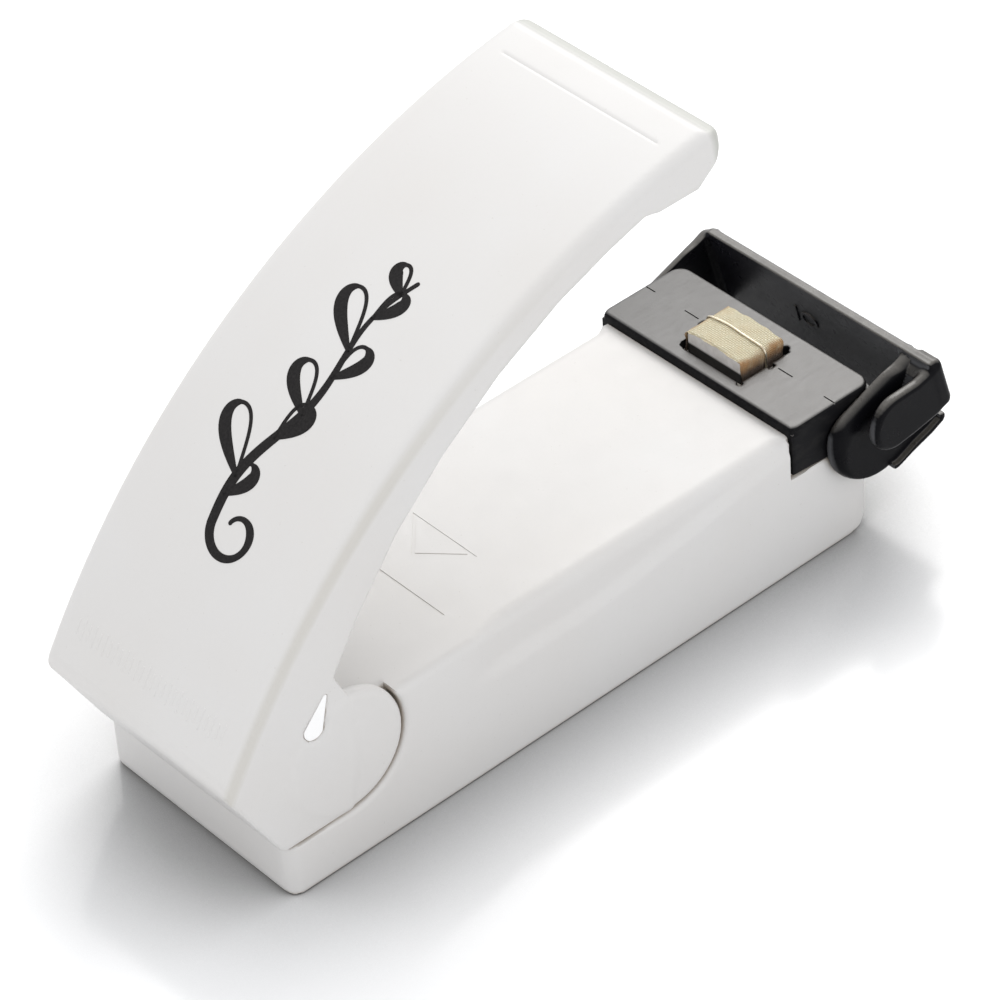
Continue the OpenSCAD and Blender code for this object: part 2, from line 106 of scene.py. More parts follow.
GROOVE = [(20.6, 83.4), (21.2, 81.17), (21.8, 83.4)]
# step under the tip, given in the closed pose
LEDGE = [(50.45, 34), (50.7, 32.4), (51.12, 31.38), (51.34, 31.21), (53, 30.19), (53, 34)]
# plane that ends the tip: x factor, z factor, distance
TIP_X, TIP_Z, TIP_DIST = math.sin(math.radians(97.6)), -math.cos(math.radians(97.6)), 39.355

ARM = [(50, 24), (61, 28), (62, 28), (62.9, 27.2), (66.6, 14.6), (66.2, 13.9), (64, 12.9),
       (57.1, 10.8), (50, 20)]
ARM_TOP = [(40, 20.1), (61.2, 27.9), (62, 28.05), (70, 28.05), (70, 0), (40, 0)]
WALL = [(60.8, 28), (62.1, 28.1), (62.9, 27.4), (66.6, 14.4), (66.2, 13.9), (64.5, 13.6)]
THUMB_TAB = [(58.5, 26.3), (61, 26.9), (62.6, 27.8), (63.1, 27.2), (65, 20.6), (64.6, 19.6),
             (62.6, 18.6), (58, 17.8)] + arc((54.4, 21.8), 4.4, 270, 90, 20)
TAB_WEB = [(62.9, 27.8), (62.0, 27.8), (61.0, 27.1), (59.6, 25.6), (58.4, 23.4), (57.6, 20.6),
           (57.2, 18.9), (60, 18.6), (65.1, 20.0)]


# ---------------------------------------------------------------- distance building blocks
# Signed distances are negative inside. They take grids or lists of points alike.
def outline(x, z, points):
    """Signed distance to a closed outline."""
    points = np.asarray(points, float)
    nearest, outside = None, None
    for i in range(len(points)):
        start_x, start_z = points[i]
        end_x, end_z = points[i - 1]
        edge_x, edge_z = end_x - start_x, end_z - start_z
        dx, dz = x - start_x, z - start_z
        along = np.clip((dx * edge_x + dz * edge_z)
                        / (edge_x * edge_x + edge_z * edge_z + 1e-12), 0, 1)
        squared = (dx - edge_x * along) ** 2 + (dz - edge_z * along) ** 2
        nearest = squared if nearest is None else np.minimum(nearest, squared)
        above, below, left = z >= start_z, z < end_z, edge_x * dz > edge_z * dx
        crosses = (above & below & left) | (~above & ~below & ~left)
        outside = crosses if outside is None else outside ^ crosses
    return np.where(outside, -1.0, 1.0) * np.sqrt(nearest)


def meet(a, b, radius):
    """Intersection with its edge rounded."""
    u, v = a + radius, b + radius
    inner = np.minimum(np.maximum(u, v), 0)
    return inner + np.hypot(np.maximum(u, 0), np.maximum(v, 0)) - radius


def fuse(a, b, radius):
    """Union with its inside corner rounded."""
    return -meet(-a, -b, radius)


def slab(v, centre, half):
    return np.abs(v - centre) - half


def between(v, low, high):
    return slab(v, (low + high) / 2, (high - low) / 2)


def disc(x, z, centre, radius):
    return np.hypot(x - centre[0], z - centre[1]) - radius


def box(x, y, z, low, high, radius=0.0):
    gaps = [between(p, a, b) + radius for p, a, b in zip((x, y, z), low, high)]
    inner = np.maximum(np.maximum(gaps[0], gaps[1]), gaps[2])
    outer = np.sqrt(np.maximum(gaps[0], 0) ** 2 + np.maximum(gaps[1], 0) ** 2
                    + np.maximum(gaps[2], 0) ** 2)
    return np.minimum(inner, 0) + outer - radius


def plan(x, y, x0, x1, half_width, radius):
    """Rounded rectangle seen from above."""
    return meet(between(x, x0, x1), np.abs(y) - half_width, radius)


def ramp(start, stop, v):
    t = np.clip((v - start) / (stop - start), 0, 1)
    return t * t * (3 - 2 * t)


def closed(x, z):
    """Where a point of the open lever is once the lever is closed."""
    dx, dz = x - HINGE_X, z - HINGE_Z
    return HINGE_X + dx * OPEN_COS + dz * OPEN_SIN, HINGE_Z - dx * OPEN_SIN + dz * OPEN_COS


# ---------------------------------------------------------------- distance to each shell
def base_distance(x, y, z):
    side = np.abs(y)
    # edges are tighter around the lobe at the hinge, softer higher up elsewhere
    away = ramp(10.1, 12.2, np.hypot(x - HINGE_X, z - HINGE_Z))
    edge = 0.3 + 0.5 * (1 - away) + away * (0.1 + 0.75 * ramp(9, 19, z))
    # the recess in each flank fades in from its outline, and softens the deck's edge
    dip = ramp(0.5, -2.4, outline(x, z, FLANK)) * ramp(-19.5, -11.5, x)
    footprint = plan(x, y, BASE_X0, BASE_X1, HALF_WIDTH - 0.7 * dip, 2.5)
    full = meet(outline(x, z, BASE_SIDE), footprint, edge + 0.85 * dip)
    core = meet(outline(x, z, CORE_SIDE), side - 16.4, 0.7)
    body = np.minimum(full, core)
    # seat of the head plate's skirt, on the flanks and then on the +x end
    body = meet(body, -np.maximum(outline(x, z, SKIRT_SEAT), 18.15 - side), 0.12)
    return meet(body, -np.maximum(54.5 - x, 16.4 - z), 0.12)


def lever_distance(x, y, z):
    side = np.abs(y)
    arch = disc(x, z, ARCH, ARCH_R)
    top = meet(arch, TIP_X * x + TIP_Z * z - TIP_DIST, 2.0)
    body = meet(meet(top, side - HALF_WIDTH, 1.8), outline(x, z, LEVER_OUT), 0.4)
    hollow = meet(meet(arch + 1.8, side - 17.1, 1.2), outline(x, z, LEVER_IN), 0.4)
    body = meet(body, -hollow, 0.25)
    # round lobes at the hinge
    body = fuse(body, meet(disc(x, z, HINGE, 9.6), slab(side, 17.85, 1.15), 0.9), 0.5)
    # soft line where the top turns into the side walls, deeper towards the hinge
    angle = np.degrees(np.arctan2(z - ARCH_Z, x - ARCH_X))
    line = 0.75 * ramp(112, 140, angle) - 0.4 - np.hypot(arch + 1.15, side - 19.0)
    body = meet(body, line, 0.35)
    body = np.minimum(body, meet(outline(x, z, CHEEK), slab(side, 17.6, 0.9), 0.2))
    body = fuse(body, meet(outline(x, z, NOSE), side - 10.5, 0.5), 0.6)
    body = fuse(body, meet(outline(x, z, WEB), side - 17.3, 0.2), 0.5)
    # drop-shaped hollows in the outer faces, above the lobes
    dx, dz = x - DROP_X, z - DROP_Z
    along = np.clip((dx * DROP_DX + dz * DROP_DZ) / (DROP_DX ** 2 + DROP_DZ ** 2), 0, 1)
    drop = np.hypot(dx - DROP_DX * along, dz - DROP_DZ * along) - (1.8 - 1.45 * along)
    body = meet(body, -np.maximum(drop, 18.5 - side), 0.3)
    body = meet(body, -meet(outline(x, z, GROOVE), side - 15, 0.1), 0.18)
    # room for the base's lobe between the walls
    body = meet(body, -meet(disc(x, z, HINGE, 12), side - 16.7, 0.3), 0.2)
    # ledge and two rectangular pockets under the tip, square to the closed pose
    x, z = closed(x, z)
    body = meet(body, -outline(x, z, LEDGE), 0.35)
    body = meet(body, -box(x, y, z, (42, -6.5, 25), (53.5, 6.5, 28.6), 0.2), 0.2)
    return np.maximum(body, -box(x, y, z, (45.57, -9.43, 28), (50.03, 9.43, 29.53)))


def latch_distance(x, y, z):
    side = np.abs(y)
    profile = fuse(disc(x, z, (54.6, 19), 8.6), outline(x, z, ARM), 0.5)
    profile = meet(profile, outline(x, z, ARM_TOP), 1.6)
    # the arms bulge outwards, over a rim that is wider higher up
    rim = 0.8 + 2.2 * ramp(12, 22, z) * (1 - 0.45 * ramp(57, 63, x))
    inward = np.clip(-profile / rim, 0, 1)
    bulge = 21.6 - 1.9 * (1 - np.sqrt(1 - (1 - inward) ** 2))
    arm = meet(np.maximum(profile, 0.72 * (side - bulge)), 19.45 - side, 0.3)
    wall_side = outline(x, z, WALL)
    body = fuse(arm, meet(wall_side, side - 19.6, 0.5), 1.1)
    # thumb tab, its web and the end of the wall it hangs on, on the -y side only
    tab = meet(outline(x, z, THUMB_TAB), between(y, -25.2, -23.35), 0.85)
    web = meet(outline(x, z, TAB_WEB), between(y, -24.6, -21.2), 0.3)
    end = meet(meet(wall_side, between(y, -24.9, -18.5), 0.5), 19.6 - z, 0.5)
    body = np.minimum(body, fuse(fuse(tab, web, 0.5), end, 0.6))
    # thin lip along the lower edge of the -y arm
    lip = meet(np.abs(profile + 0.45) - 0.45, between(y, -22.5, -21.0), 0.3)
    body = fuse(body, np.maximum(np.maximum(lip, 56.5 - x), z - 15.2), 0.25)
    socket = meet(disc(x, z, LATCH, LATCH_PIN_R + 0.06), side - 21.0, 0.0)
    return np.maximum(body, -socket)


def plate_distance(x, y, z):
    side = np.abs(y)
    footprint = np.maximum(plan(x, y, 39.2, 55.4, 19.2, 2.2), PLATE_X0 - x)
    top = meet(meet(footprint, z - PLATE_Z, 0.55), 23.91 - z, 0.05)
    # skirt, 1 mm thick, with a sloping lower edge
    lower = np.where(x < 50, 17.5 - (x - PLATE_X0) * 0.0891, 16.6)
    rim = plan(x, y, 39.2, 55.4, 19.2, 1.2)
    skirt = np.maximum(np.maximum(rim, PLATE_X0 - x), -(rim + 1.0))
    skirt = meet(np.maximum(skirt, z - 24.4), lower - z, 0.25)
    body = np.minimum(top, skirt)
    pins = np.maximum(disc(x, z, LATCH, LATCH_PIN_R), slab(side, 19.95, 0.95))
    body = np.minimum(body, pins)
    tongues = box(x, side, z, (41.4, 11.75, DECK_Z - 2.6), (53.4, 12.45, DECK_Z + 0.1))
    body = np.minimum(body, tongues)
    # window around the block: one slanted corner, wire slots at both ends, two round nicks
    window = box(x, y, z, (42.2, -6.5, 20), (51.95, 6.0, 30), 0.1)
    window = meet(window, (y - x + 36.55) * 0.7071, 0.6)
    slots = box(x, side, z, (WIRE_X - 0.6, 5.9, 20), (WIRE_X + 0.6, 7.2, 30), 0.2)
    window = np.minimum(window, slots)
    nicks = np.minimum(disc(x, y, (42.2, -6.5), 0.45), disc(x, y, (52.1, -5.5), 0.5))
    return meet(body, -np.minimum(window, nicks), 0.22)


BLOCK_END = 5.45                        # half length along y that the cloth's crown spans
CROWN_Z, CROWN_DROP = 28.05, 0.42       # top of the crown, and its fall to the ends


def crown(y):
    """Height of the cloth over the middle of the block."""
    return CROWN_Z - CROWN_DROP * (y / BLOCK_END) ** 2


def block_distance(x, y, z):
    body = box(x, y, z, (43.55, -5.4, 22.3), (51.35, 5.4, 30), 0.25)
    return meet(body, meet(z - (crown(y) - 0.27), np.abs(y) - 5.4, 0.75), 0.12)


# ---------------------------------------------------------------- from distance to mesh
def surface_net(distance, low, high, cell):
    """Vertices and quads of the zero level, one vertex in each grid cell it crosses."""
    axes = [np.arange(a - 1.5 * cell, b + 1.6 * cell, cell) for a, b in zip(low, high)]
    field = distance(axes[0][:, None, None], axes[1][None, :, None], axes[2][None, None, :])
    field = np.where(field == 0, 1e-6, field)
    inside = field < 0
    size = [s - 1 for s in field.shape]
    count = np.zeros(size, np.int8)
    for i, j, k in product((0, 1), repeat=3):
        count += inside[i:size[0] + i, j:size[1] + j, k:size[2] + k]
    crossed = (count > 0) & (count < 8)
    cells = np.argwhere(crossed)
    index = np.full(size, -1, np.int64)
    index[crossed] = np.arange(len(cells))

    # each vertex starts at the mean of the crossings on its cell's twelve edges
    total, hits = np.zeros((len(cells), 3)), np.zeros(len(cells))
    for axis in range(3):
        across = [a for a in range(3) if a != axis]
        for step in product((0, 1), repeat=2):
            start = cells.copy()
            start[:, across] += step
            stop = start.copy()
            stop[:, axis] += 1
            first, last = field[tuple(start.T)], field[tuple(stop.T)]
            cut = (first < 0) != (last < 0)
            point = start.astype(float)
            point[:, axis] += np.where(cut, first / np.where(cut, first - last, 1), 0)
            total[cut] += point[cut]
            hits[cut] += 1
    points = total / hits[:, None] * cell + np.array([a[0] for a in axes])

    # one quad around each crossed grid edge, wound to face outwards
    quads = []
    for axis in range(3):
        here, ahead = [slice(1, -1)] * 3, [slice(1, -1)] * 3
        here[axis], ahead[axis] = slice(0, -1), slice(1, None)
        starts_in = inside[tuple(here)]
        edges = np.argwhere(starts_in != inside[tuple(ahead)])
        outward = starts_in[tuple(edges.T)]
        offset = np.ones(3, int)
        offset[axis] = 0
        corners = []
        for step in ((-1, -1), (0, -1), (0, 0), (-1, 0)):
            corner = edges + offset
            corner[:, [(axis + 1) % 3, (axis + 2) % 3]] += step
            corners.append(index[tuple(corner.T)])
        corners = np.stack(corners, 1)
        corners[~outward] = corners[~outward][:, ::-1]
        quads.append(corners)
    return points, np.concatenate(quads)


def pull(points, distance, cell):
    """Moves the points onto the true surface along the gradient, in two steps."""
    probe = 0.04
    for _ in range(2):
        x, y, z = points.T
        here = distance(x, y, z)
        slope = np.stack([
            distance(x + probe * (a == 0), y + probe * (a == 1), z + probe * (a == 2)) - here
            for a in range(3)], 1) / probe
        squared = np.maximum((slope * slope).sum(1), 0.25)
        travel = np.clip(here, -0.6 * cell, 0.6 * cell)
        points = points - slope * (travel / squared)[:, None]
    return points


def link(name, mesh):
    ob = bpy.data.objects.new(name, mesh)
    bpy.context.scene.collection.objects.link(ob)
    return ob


def shell(name, distance, low, high, cell):
    """Object meshed from a distance function."""
    cell *= COARSE
    points, quads = surface_net(distance, low, high, cell)
    points = pull(points, distance, cell)
    mesh = bpy.data.meshes.new(name)
    mesh.vertices.add(len(points))
    mesh.vertices.foreach_set("co", (points * MM).astype(np.float32).ravel())
    mesh.loops.add(quads.size)
    mesh.loops.foreach_set("vertex_index", quads.astype(np.int32).ravel())
    mesh.polygons.add(len(quads))
    mesh.polygons.foreach_set("loop_start", np.arange(0, quads.size, 4, dtype=np.int32))
    mesh.update(calc_edges=True)
    mesh.validate()
    return link(name, mesh)


def object_from(bm, name, mesh_name=None, recalc=True):
    """Turns the bmesh into an object and frees it."""
    if recalc:
        bmesh.ops.recalc_face_normals(bm, faces=bm.faces)
    mesh = bpy.data.meshes.new(mesh_name or name)
    bm.to_mesh(mesh)
    bm.free()
    return link(name, mesh)


def sharpen(ob, angle):
    """Smooth shading with hard edges above the angle, in degrees."""
    bm = bmesh.new()
    bm.from_mesh(ob.data)
    limit = math.radians(angle)
    for face in bm.faces:
        face.smooth = True
    for edge in bm.edges:
        edge.smooth = not (len(edge.link_faces) == 2 and edge.calc_face_angle(0) > limit)
    bm.to_mesh(ob.data)
    bm.free()


def bake(ob):
    """Applies the object's modifiers."""
    graph = bpy.context.evaluated_depsgraph_get()
    mesh = bpy.data.meshes.new_from_object(ob.evaluated_get(graph))
    old = ob.data
    ob.modifiers.clear()
    ob.data = mesh
    bpy.data.meshes.remove(old)


def solidify(ob, thickness, offset):
    modifier = ob.modifiers.new("thickness", "SOLIDIFY")
    modifier.thickness = thickness * MM
    modifier.offset = offset
    bake(ob)


def boolean(ob, tool, operation="DIFFERENCE"):
    """Cuts the tool from the object, or joins it on, and deletes the tool."""
    modifier = ob.modifiers.new("boolean", "BOOLEAN")
    modifier.operation = operation
    modifier.object = tool
    modifier.solver = "MANIFOLD"
    bpy.context.view_layer.update()
    bake(ob)
    mesh = tool.data
    bpy.data.objects.remove(tool)
    bpy.data.meshes.remove(mesh)


def prism(points, start, stop, plane="xz"):
    """Solid with its outline in the plane and flat ends at start and stop on the third axis."""
    area = sum(points[i - 1][0] * points[i][1] - points[i][0] * points[i - 1][1]
               for i in range(len(points)))
    points = points if area > 0 else points[::-1]

    def place(point, level):
        a, b = point
        return (a * MM, level * MM, b * MM) if plane == "xz" else (a * MM, b * MM, level * MM)

    bm = bmesh.new()
    near = [bm.verts.new(place(p, start)) for p in points]
    far = [bm.verts.new(place(p, stop)) for p in points]
    bm.faces.new(near)
    bm.faces.new(far[::-1])
    for i in range(len(points)):
        j = (i + 1) % len(points)
        bm.faces.new((near[j], near[i], far[i], far[j]))
    return object_from(bm, "tool")


def block(low, high):
    corners = [(low[0], low[2]), (high[0], low[2]), (high[0], high[2]), (low[0], high[2])]
    return prism(corners, low[1], high[1])


def rod(a, b, radius, start, stop, plane="xz"):
    turns = [2 * math.pi * i / 64 for i in range(64)]
    circle = [(a + radius * math.cos(t), b + radius * math.sin(t)) for t in turns]
    return prism(circle, start, stop, plane)


def add_prism(bm, low, high):
    """Closes two matching rings of vertices into a solid."""
    bm.faces.new(high)
    bm.faces.new(low[::-1])
    for i in range(len(low)):
        j = (i + 1) % len(low)
        bm.faces.new((low[i], low[j], high[j], high[i]))


def add_tube(bm, path, radius, sides):
    """Round wire along a list of points, with frames carried along the path."""
    path = np.asarray(path, float)
    tangent = np.gradient(path, axis=0)
    tangent /= np.linalg.norm(tangent, axis=1)[:, None]
    normal = np.zeros_like(path)
    steep = abs(tangent[0][2]) >= 0.9
    normal[0] = np.cross(tangent[0], np.array([1.0, 0, 0] if steep else [0, 0, 1.0]))
    normal[0] /= np.linalg.norm(normal[0])
    for i in range(1, len(path)):
        carried = normal[i - 1] - tangent[i] * np.dot(normal[i - 1], tangent[i])
        normal[i] = carried / np.linalg.norm(carried)
    binormal = np.cross(tangent, normal)
    rings = []
    for i in range(len(path)):
        ring = []
        for turn in np.arange(sides) * 2 * math.pi / sides:
            spoke = math.cos(turn) * normal[i] + math.sin(turn) * binormal[i]
            ring.append(bm.verts.new((path[i] + radius * spoke) * MM))
        rings.append(ring)
    for ring, after in zip(rings, rings[1:]):
        for j in range(sides):
            k = (j + 1) % sides
            bm.faces.new((ring[j], ring[k], after[k], after[j])).smooth = True
    bm.faces.new(rings[0][::-1])
    bm.faces.new(rings[-1])


def tube(name, path, radius, sides):
    bm = bmesh.new()
    add_tube(bm, path, radius, sides)
    return object_from(bm, name)


# ---------------------------------------------------------------- materials
MATERIALS = {}


class Material:
    """A node material whose patterns are laid out in millimetres of the object's frame."""

    def __init__(self, name, color, roughness, **inputs):
        data = bpy.data.materials.new(name)
        data.use_nodes = True
        data.diffuse_color = (*color, 1)
        self.tree = data.node_tree
        self.surface = self.tree.nodes["Principled BSDF"]
        self.set(Base_Color=(*color, 1), Roughness=roughness, **inputs)
        self.place = self.vector("SCALE", self.node("TexCoord").outputs["Object"])
        self.place.node.inputs["Scale"].default_value = 1 / MM
        self.relief = None
        MATERIALS[name] = data

    def node(self, kind):
        return self.tree.nodes.new("ShaderNode" + kind)

    def feed(self, socket, value):
        """Links a socket, or sets a plain value."""
        if isinstance(value, bpy.types.NodeSocket):
            self.tree.links.new(value, socket)
        else:
            socket.default_value = value

    def set(self, **inputs):
        for name, value in inputs.items():
            self.feed(self.surface.inputs[name.replace("_", " ")], value)

    def compute(self, kind, operation, values):
        node = self.node(kind)
        node.operation = operation
        for socket, value in zip(node.inputs, values):
            self.feed(socket, value)
        return node.outputs[0]

    def vector(self, operation, *values):
        return self.compute("VectorMath", operation, values)

    def math(self, operation, *values):
        return self.compute("Math", operation, values)

    def add(self, a, b):
        return self.math("ADD", a, b)

    def minus(self, a, b):
        return self.math("SUBTRACT", a, b)

    def times(self, a, b):
        return self.math("MULTIPLY", a, b)

    def size(self, a):
        return self.math("ABSOLUTE", a)

    def radius(self, a, b):
        return self.math("SQRT", self.add(self.times(a, a), self.times(b, b)))

    def axis(self, i, vector=None):
        """Coordinate x, y or z of the place on the object, or of another vector."""
        node = self.node("SeparateXYZ")
        self.feed(node.inputs[0], vector or self.place)
        return node.outputs[i]

    def normal(self, i):
        """Component of the surface normal in the object's own frame."""
        return self.axis(i, self.node("TexCoord").outputs["Normal"])

    def noise(self, scale, detail=3.0, rough=0.5, stretch=None, distortion=0.0):
        node = self.node("TexNoise")
        place = self.vector("MULTIPLY", self.place, stretch) if stretch else self.place
        self.feed(node.inputs["Vector"], place)
        node.inputs["Scale"].default_value = scale
        node.inputs["Detail"].default_value = detail
        node.inputs["Roughness"].default_value = rough
        node.inputs["Distortion"].default_value = distortion
        return node.outputs["Fac"]

    def occlusion(self, samples, distance):
        node = self.node("AmbientOcclusion")
        node.samples = samples
        node.inputs["Distance"].default_value = distance * MM
        return node.outputs["AO"]

    def ramp(self, value, at, to=(0.0, 1.0)):
        """Maps the span `at` of the value to the span `to`, clamped."""
        node = self.node("MapRange")
        self.feed(node.inputs["Value"], value)
        for name, limit in zip(("From Min", "From Max", "To Min", "To Max"), (*at, *to)):
            self.feed(node.inputs[name], limit)
        return node.outputs[0]

    def mix(self, mask, low, high):
        """Colour that is low where the mask is 0 and high where it is 1."""
        node = self.node("Mix")
        node.data_type = "RGBA"
        self.feed(node.inputs[0], mask)
        for socket, color in ((node.inputs[6], low), (node.inputs[7], high)):
            self.feed(socket, (*color, 1) if isinstance(color, tuple) else color)
        return node.outputs[2]

    def over(self, base, color, mask, amount):
        """Lays a colour over the base where the mask allows, at most by the amount."""
        return self.mix(self.times(mask, amount), base, color)

    def bump(self, height, depth, strength):
        """Adds relief, depth in millimetres, on top of what is there."""
        node = self.node("Bump")
        node.inputs["Distance"].default_value = depth * MM
        node.inputs["Strength"].default_value = strength
        self.feed(node.inputs["Height"], height)
        if self.relief is not None:
            self.feed(node.inputs["Normal"], self.relief)
        self.relief = node.outputs[0]
        self.set(Normal=self.relief)

    def grain(self, depth, strength, **noise):
        self.bump(self.noise(**noise), depth, strength)


def white_abs(name, tint=None):
    mat = Material(name, (0.8, 0.8, 0.79), roughness=0.42, Specular_IOR_Level=0.4)
    broad = mat.ramp(mat.noise(scale=0.035, detail=2.0), at=(0.35, 0.65))
    # painted shade: brownish darkening where ambient occlusion finds creases and seams
    painted_crease_shade = mat.ramp(mat.occlusion(samples=8, distance=1.6), at=(0.72, 0.25))
    fine = mat.ramp(mat.noise(scale=1.6, detail=4.0, rough=0.6), at=(0.3, 0.7))
    specks = mat.ramp(mat.noise(scale=2.4, detail=2.0), at=(0.735, 0.76))
    color = mat.mix(broad, low=(0.648, 0.632, 0.614), high=(0.662, 0.652, 0.640))
    color = mat.over(color, (0.42, 0.35, 0.27), painted_crease_shade, amount=0.75)
    color = mat.over(color, (0.60, 0.585, 0.565), fine, amount=0.10)
    color = mat.over(color, (0.45, 0.42, 0.38), specks, amount=0.28)
    gloss = mat.noise(scale=0.35, detail=4.0, rough=0.6)
    mat.set(Base_Color=tint(mat, color) if tint else color,
            Roughness=mat.ramp(gloss, at=(0.3, 0.7), to=(0.38, 0.45)))
    mat.grain(depth=0.12, strength=0.3, scale=0.06, detail=1.0)
    mat.grain(depth=0.012, strength=0.5, scale=4.5, rough=0.6)


def lever_tint(mat, color):
    """A brownish soft line along the lever's edges, and painted shade on its tip's rounded edge.
    """
    x, y, z = (mat.axis(i) for i in range(3))
    dx, dz = mat.minus(x, ARCH_X), mat.minus(z, ARCH_Z)
    radius = mat.radius(dx, dz)
    line = mat.radius(mat.minus(radius, ARCH_R - 1.15), mat.minus(mat.size(y), 19.0))
    to_hinge = mat.ramp(mat.math("DIVIDE", dx, radius), at=(-0.34, -0.62))
    # brownish line along the soft line at the edges, stronger towards the hinge
    brown_edge_line = mat.times(mat.ramp(line, at=(1.3, 0.45)), to_hinge)
    color = mat.over(color, (0.44, 0.41, 0.33), brown_edge_line, amount=0.30)
    # painted shade: grey-green on the rounded edge of the tip
    plane = mat.add(mat.times(x, TIP_X), mat.times(z, TIP_Z))
    tip_painted_shade = mat.ramp(mat.minus(plane, TIP_DIST), at=(-2.3, -1.2))
    return mat.over(color, (0.43, 0.435, 0.40), tip_painted_shade, amount=0.85)


def black_plastic():
    """Black and scuffed, with a painted sheen: a paler top that fades towards +y."""
    mat = Material("black_plastic", (0.008, 0.008, 0.009), roughness=0.38,
                   Specular_IOR_Level=0.5)
    scuff = mat.noise(scale=0.5, detail=6.0, rough=0.7, stretch=(0.5, 2.2, 1.0), distortion=1.2)
    streaks = mat.noise(scale=1.1, rough=0.55, stretch=(0.25, 6.0, 1.0), distortion=0.4)
    lines = mat.ramp(streaks, at=(0.57, 0.70))
    up = mat.ramp(mat.normal(2), at=(0.75, 0.93))
    dark = mat.over((0.006, 0.006, 0.007), (0.022, 0.021, 0.020),
                    mat.ramp(scuff, at=(0.45, 0.75)), amount=0.6)
    # painted sheen: faces looking up get a paler colour, mottled by the scuffs and fading towards
    # +y
    far = mat.ramp(mat.axis(1), at=(-6.0, 19.0))
    pale = mat.mix(mat.ramp(scuff, at=(0.35, 0.75)),
                   low=(0.047, 0.043, 0.039), high=(0.067, 0.061, 0.055))
    top = mat.over(pale, (0.024, 0.022, 0.021), far, amount=0.55)
    top_shine = mat.ramp(far, at=(0.0, 1.0), to=(1.0, 0.78))
    rough = mat.ramp(scuff, at=(0.3, 0.75), to=(0.37, 0.47))
    mat.set(Base_Color=mat.mix(up, dark, top),
            Specular_IOR_Level=mat.ramp(up, at=(0.0, 1.0), to=(0.05, top_shine)),
            Roughness=mat.add(rough, mat.times(lines, 0.05)))
    mat.grain(depth=0.10, strength=0.4, scale=0.12, detail=1.0)
    mat.grain(depth=0.012, strength=0.5, scale=7.0, detail=2.0, rough=0.6)
    mat.bump(lines, depth=0.006, strength=0.25)


def black_satin():
    """Black with dust, painted sheen on top, painted grey light on faces towards -x, more at -y.
    """
    mat = Material("black_satin", (0.004, 0.004, 0.005), roughness=0.34,
                   Specular_IOR_Level=0.16)
    dust = mat.ramp(mat.noise(scale=3.2, rough=0.6), at=(0.66, 0.74))
    up = mat.ramp(mat.normal(2), at=(0.55, 0.90))
    dark = mat.over((0.004, 0.004, 0.005), (0.03, 0.029, 0.028), dust, amount=0.35)
    mottle = mat.ramp(mat.noise(scale=1.4, detail=4.0, rough=0.65), at=(0.3, 0.7))
    # painted sheen: faces looking up get a paler mottled colour
    top = mat.mix(mottle, low=(0.085, 0.078, 0.068), high=(0.055, 0.050, 0.044))
    # painted light: faces towards -x get grey patches, stronger towards the -y end
    inner = mat.ramp(mat.normal(0), at=(-0.80, -0.95))
    patches = mat.noise(scale=0.7, detail=5.0, rough=0.65, stretch=(1.0, 0.45, 1.0))
    painted_light_mask = mat.times(mat.ramp(patches, at=(0.25, 0.75), to=(0.65, 1.0)),
                    mat.ramp(mat.axis(1), at=(16.0, -14.0)))
    painted_light_grey = mat.mix(painted_light_mask, low=(0.012, 0.012, 0.015), high=(0.085, 0.086, 0.090))
    not_up = mat.ramp(up, at=(0.0, 0.5), to=(1.0, 0.0))
    gloss = mat.noise(scale=0.5, detail=5.0, rough=0.65)
    mat.set(Base_Color=mat.over(mat.mix(up, dark, top), painted_light_grey, inner, amount=not_up),
            Specular_IOR_Level=mat.ramp(up, at=(0.0, 1.0), to=(0.05, 0.6)),
            Roughness=mat.ramp(gloss, at=(0.3, 0.7), to=(0.24, 0.38)))
    mat.grain(depth=0.25, strength=0.4, scale=0.10, detail=1.0)
    mat.grain(depth=0.012, strength=0.5, scale=6.0, rough=0.6)


def mottled(name, color, roughness, low, high, blotch, grain):
    """Two close colours mixed by a noise; blotch and grain are settings of noise and grain."""
    mat = Material(name, color, roughness)
    mat.set(Base_Color=mat.mix(mat.noise(**blotch), low, high))
    mat.grain(**grain)


def metal(name, light, dark, roughness, scale, stretch=None):
    mat = Material(name, light, roughness, Metallic=1.0)
    noise = mat.noise(scale=scale, detail=5.0, rough=0.65, stretch=stretch)
    mat.set(Base_Color=mat.mix(mat.ramp(noise, at=(0.35, 0.7)), light, dark),
            Roughness=mat.ramp(noise, at=(0.3, 0.7), to=(roughness - 0.07, roughness + 0.12)))
    mat.bump(noise, depth=0.01, strength=0.5)


def white_ceramic():
    """Off-white above, painted shadow in black where it goes down into the plate's window."""
    mat = Material("white_ceramic_filled", (0.78, 0.77, 0.76), roughness=0.5,
                   Specular_IOR_Level=0.4)
    mottle = mat.ramp(mat.noise(scale=0.9, detail=5.0, rough=0.6), at=(0.35, 0.7))
    pale = mat.mix(mottle, low=(0.72, 0.69, 0.67), high=(0.58, 0.55, 0.52))
    # painted shadow: black below the head plate's top
    below = mat.ramp(mat.axis(2), at=(25.75, 25.35))
    mat.set(Base_Color=mat.mix(below, pale, (0.012, 0.011, 0.011)))
    mat.grain(depth=0.03, strength=0.6, scale=4.0, detail=4.0)


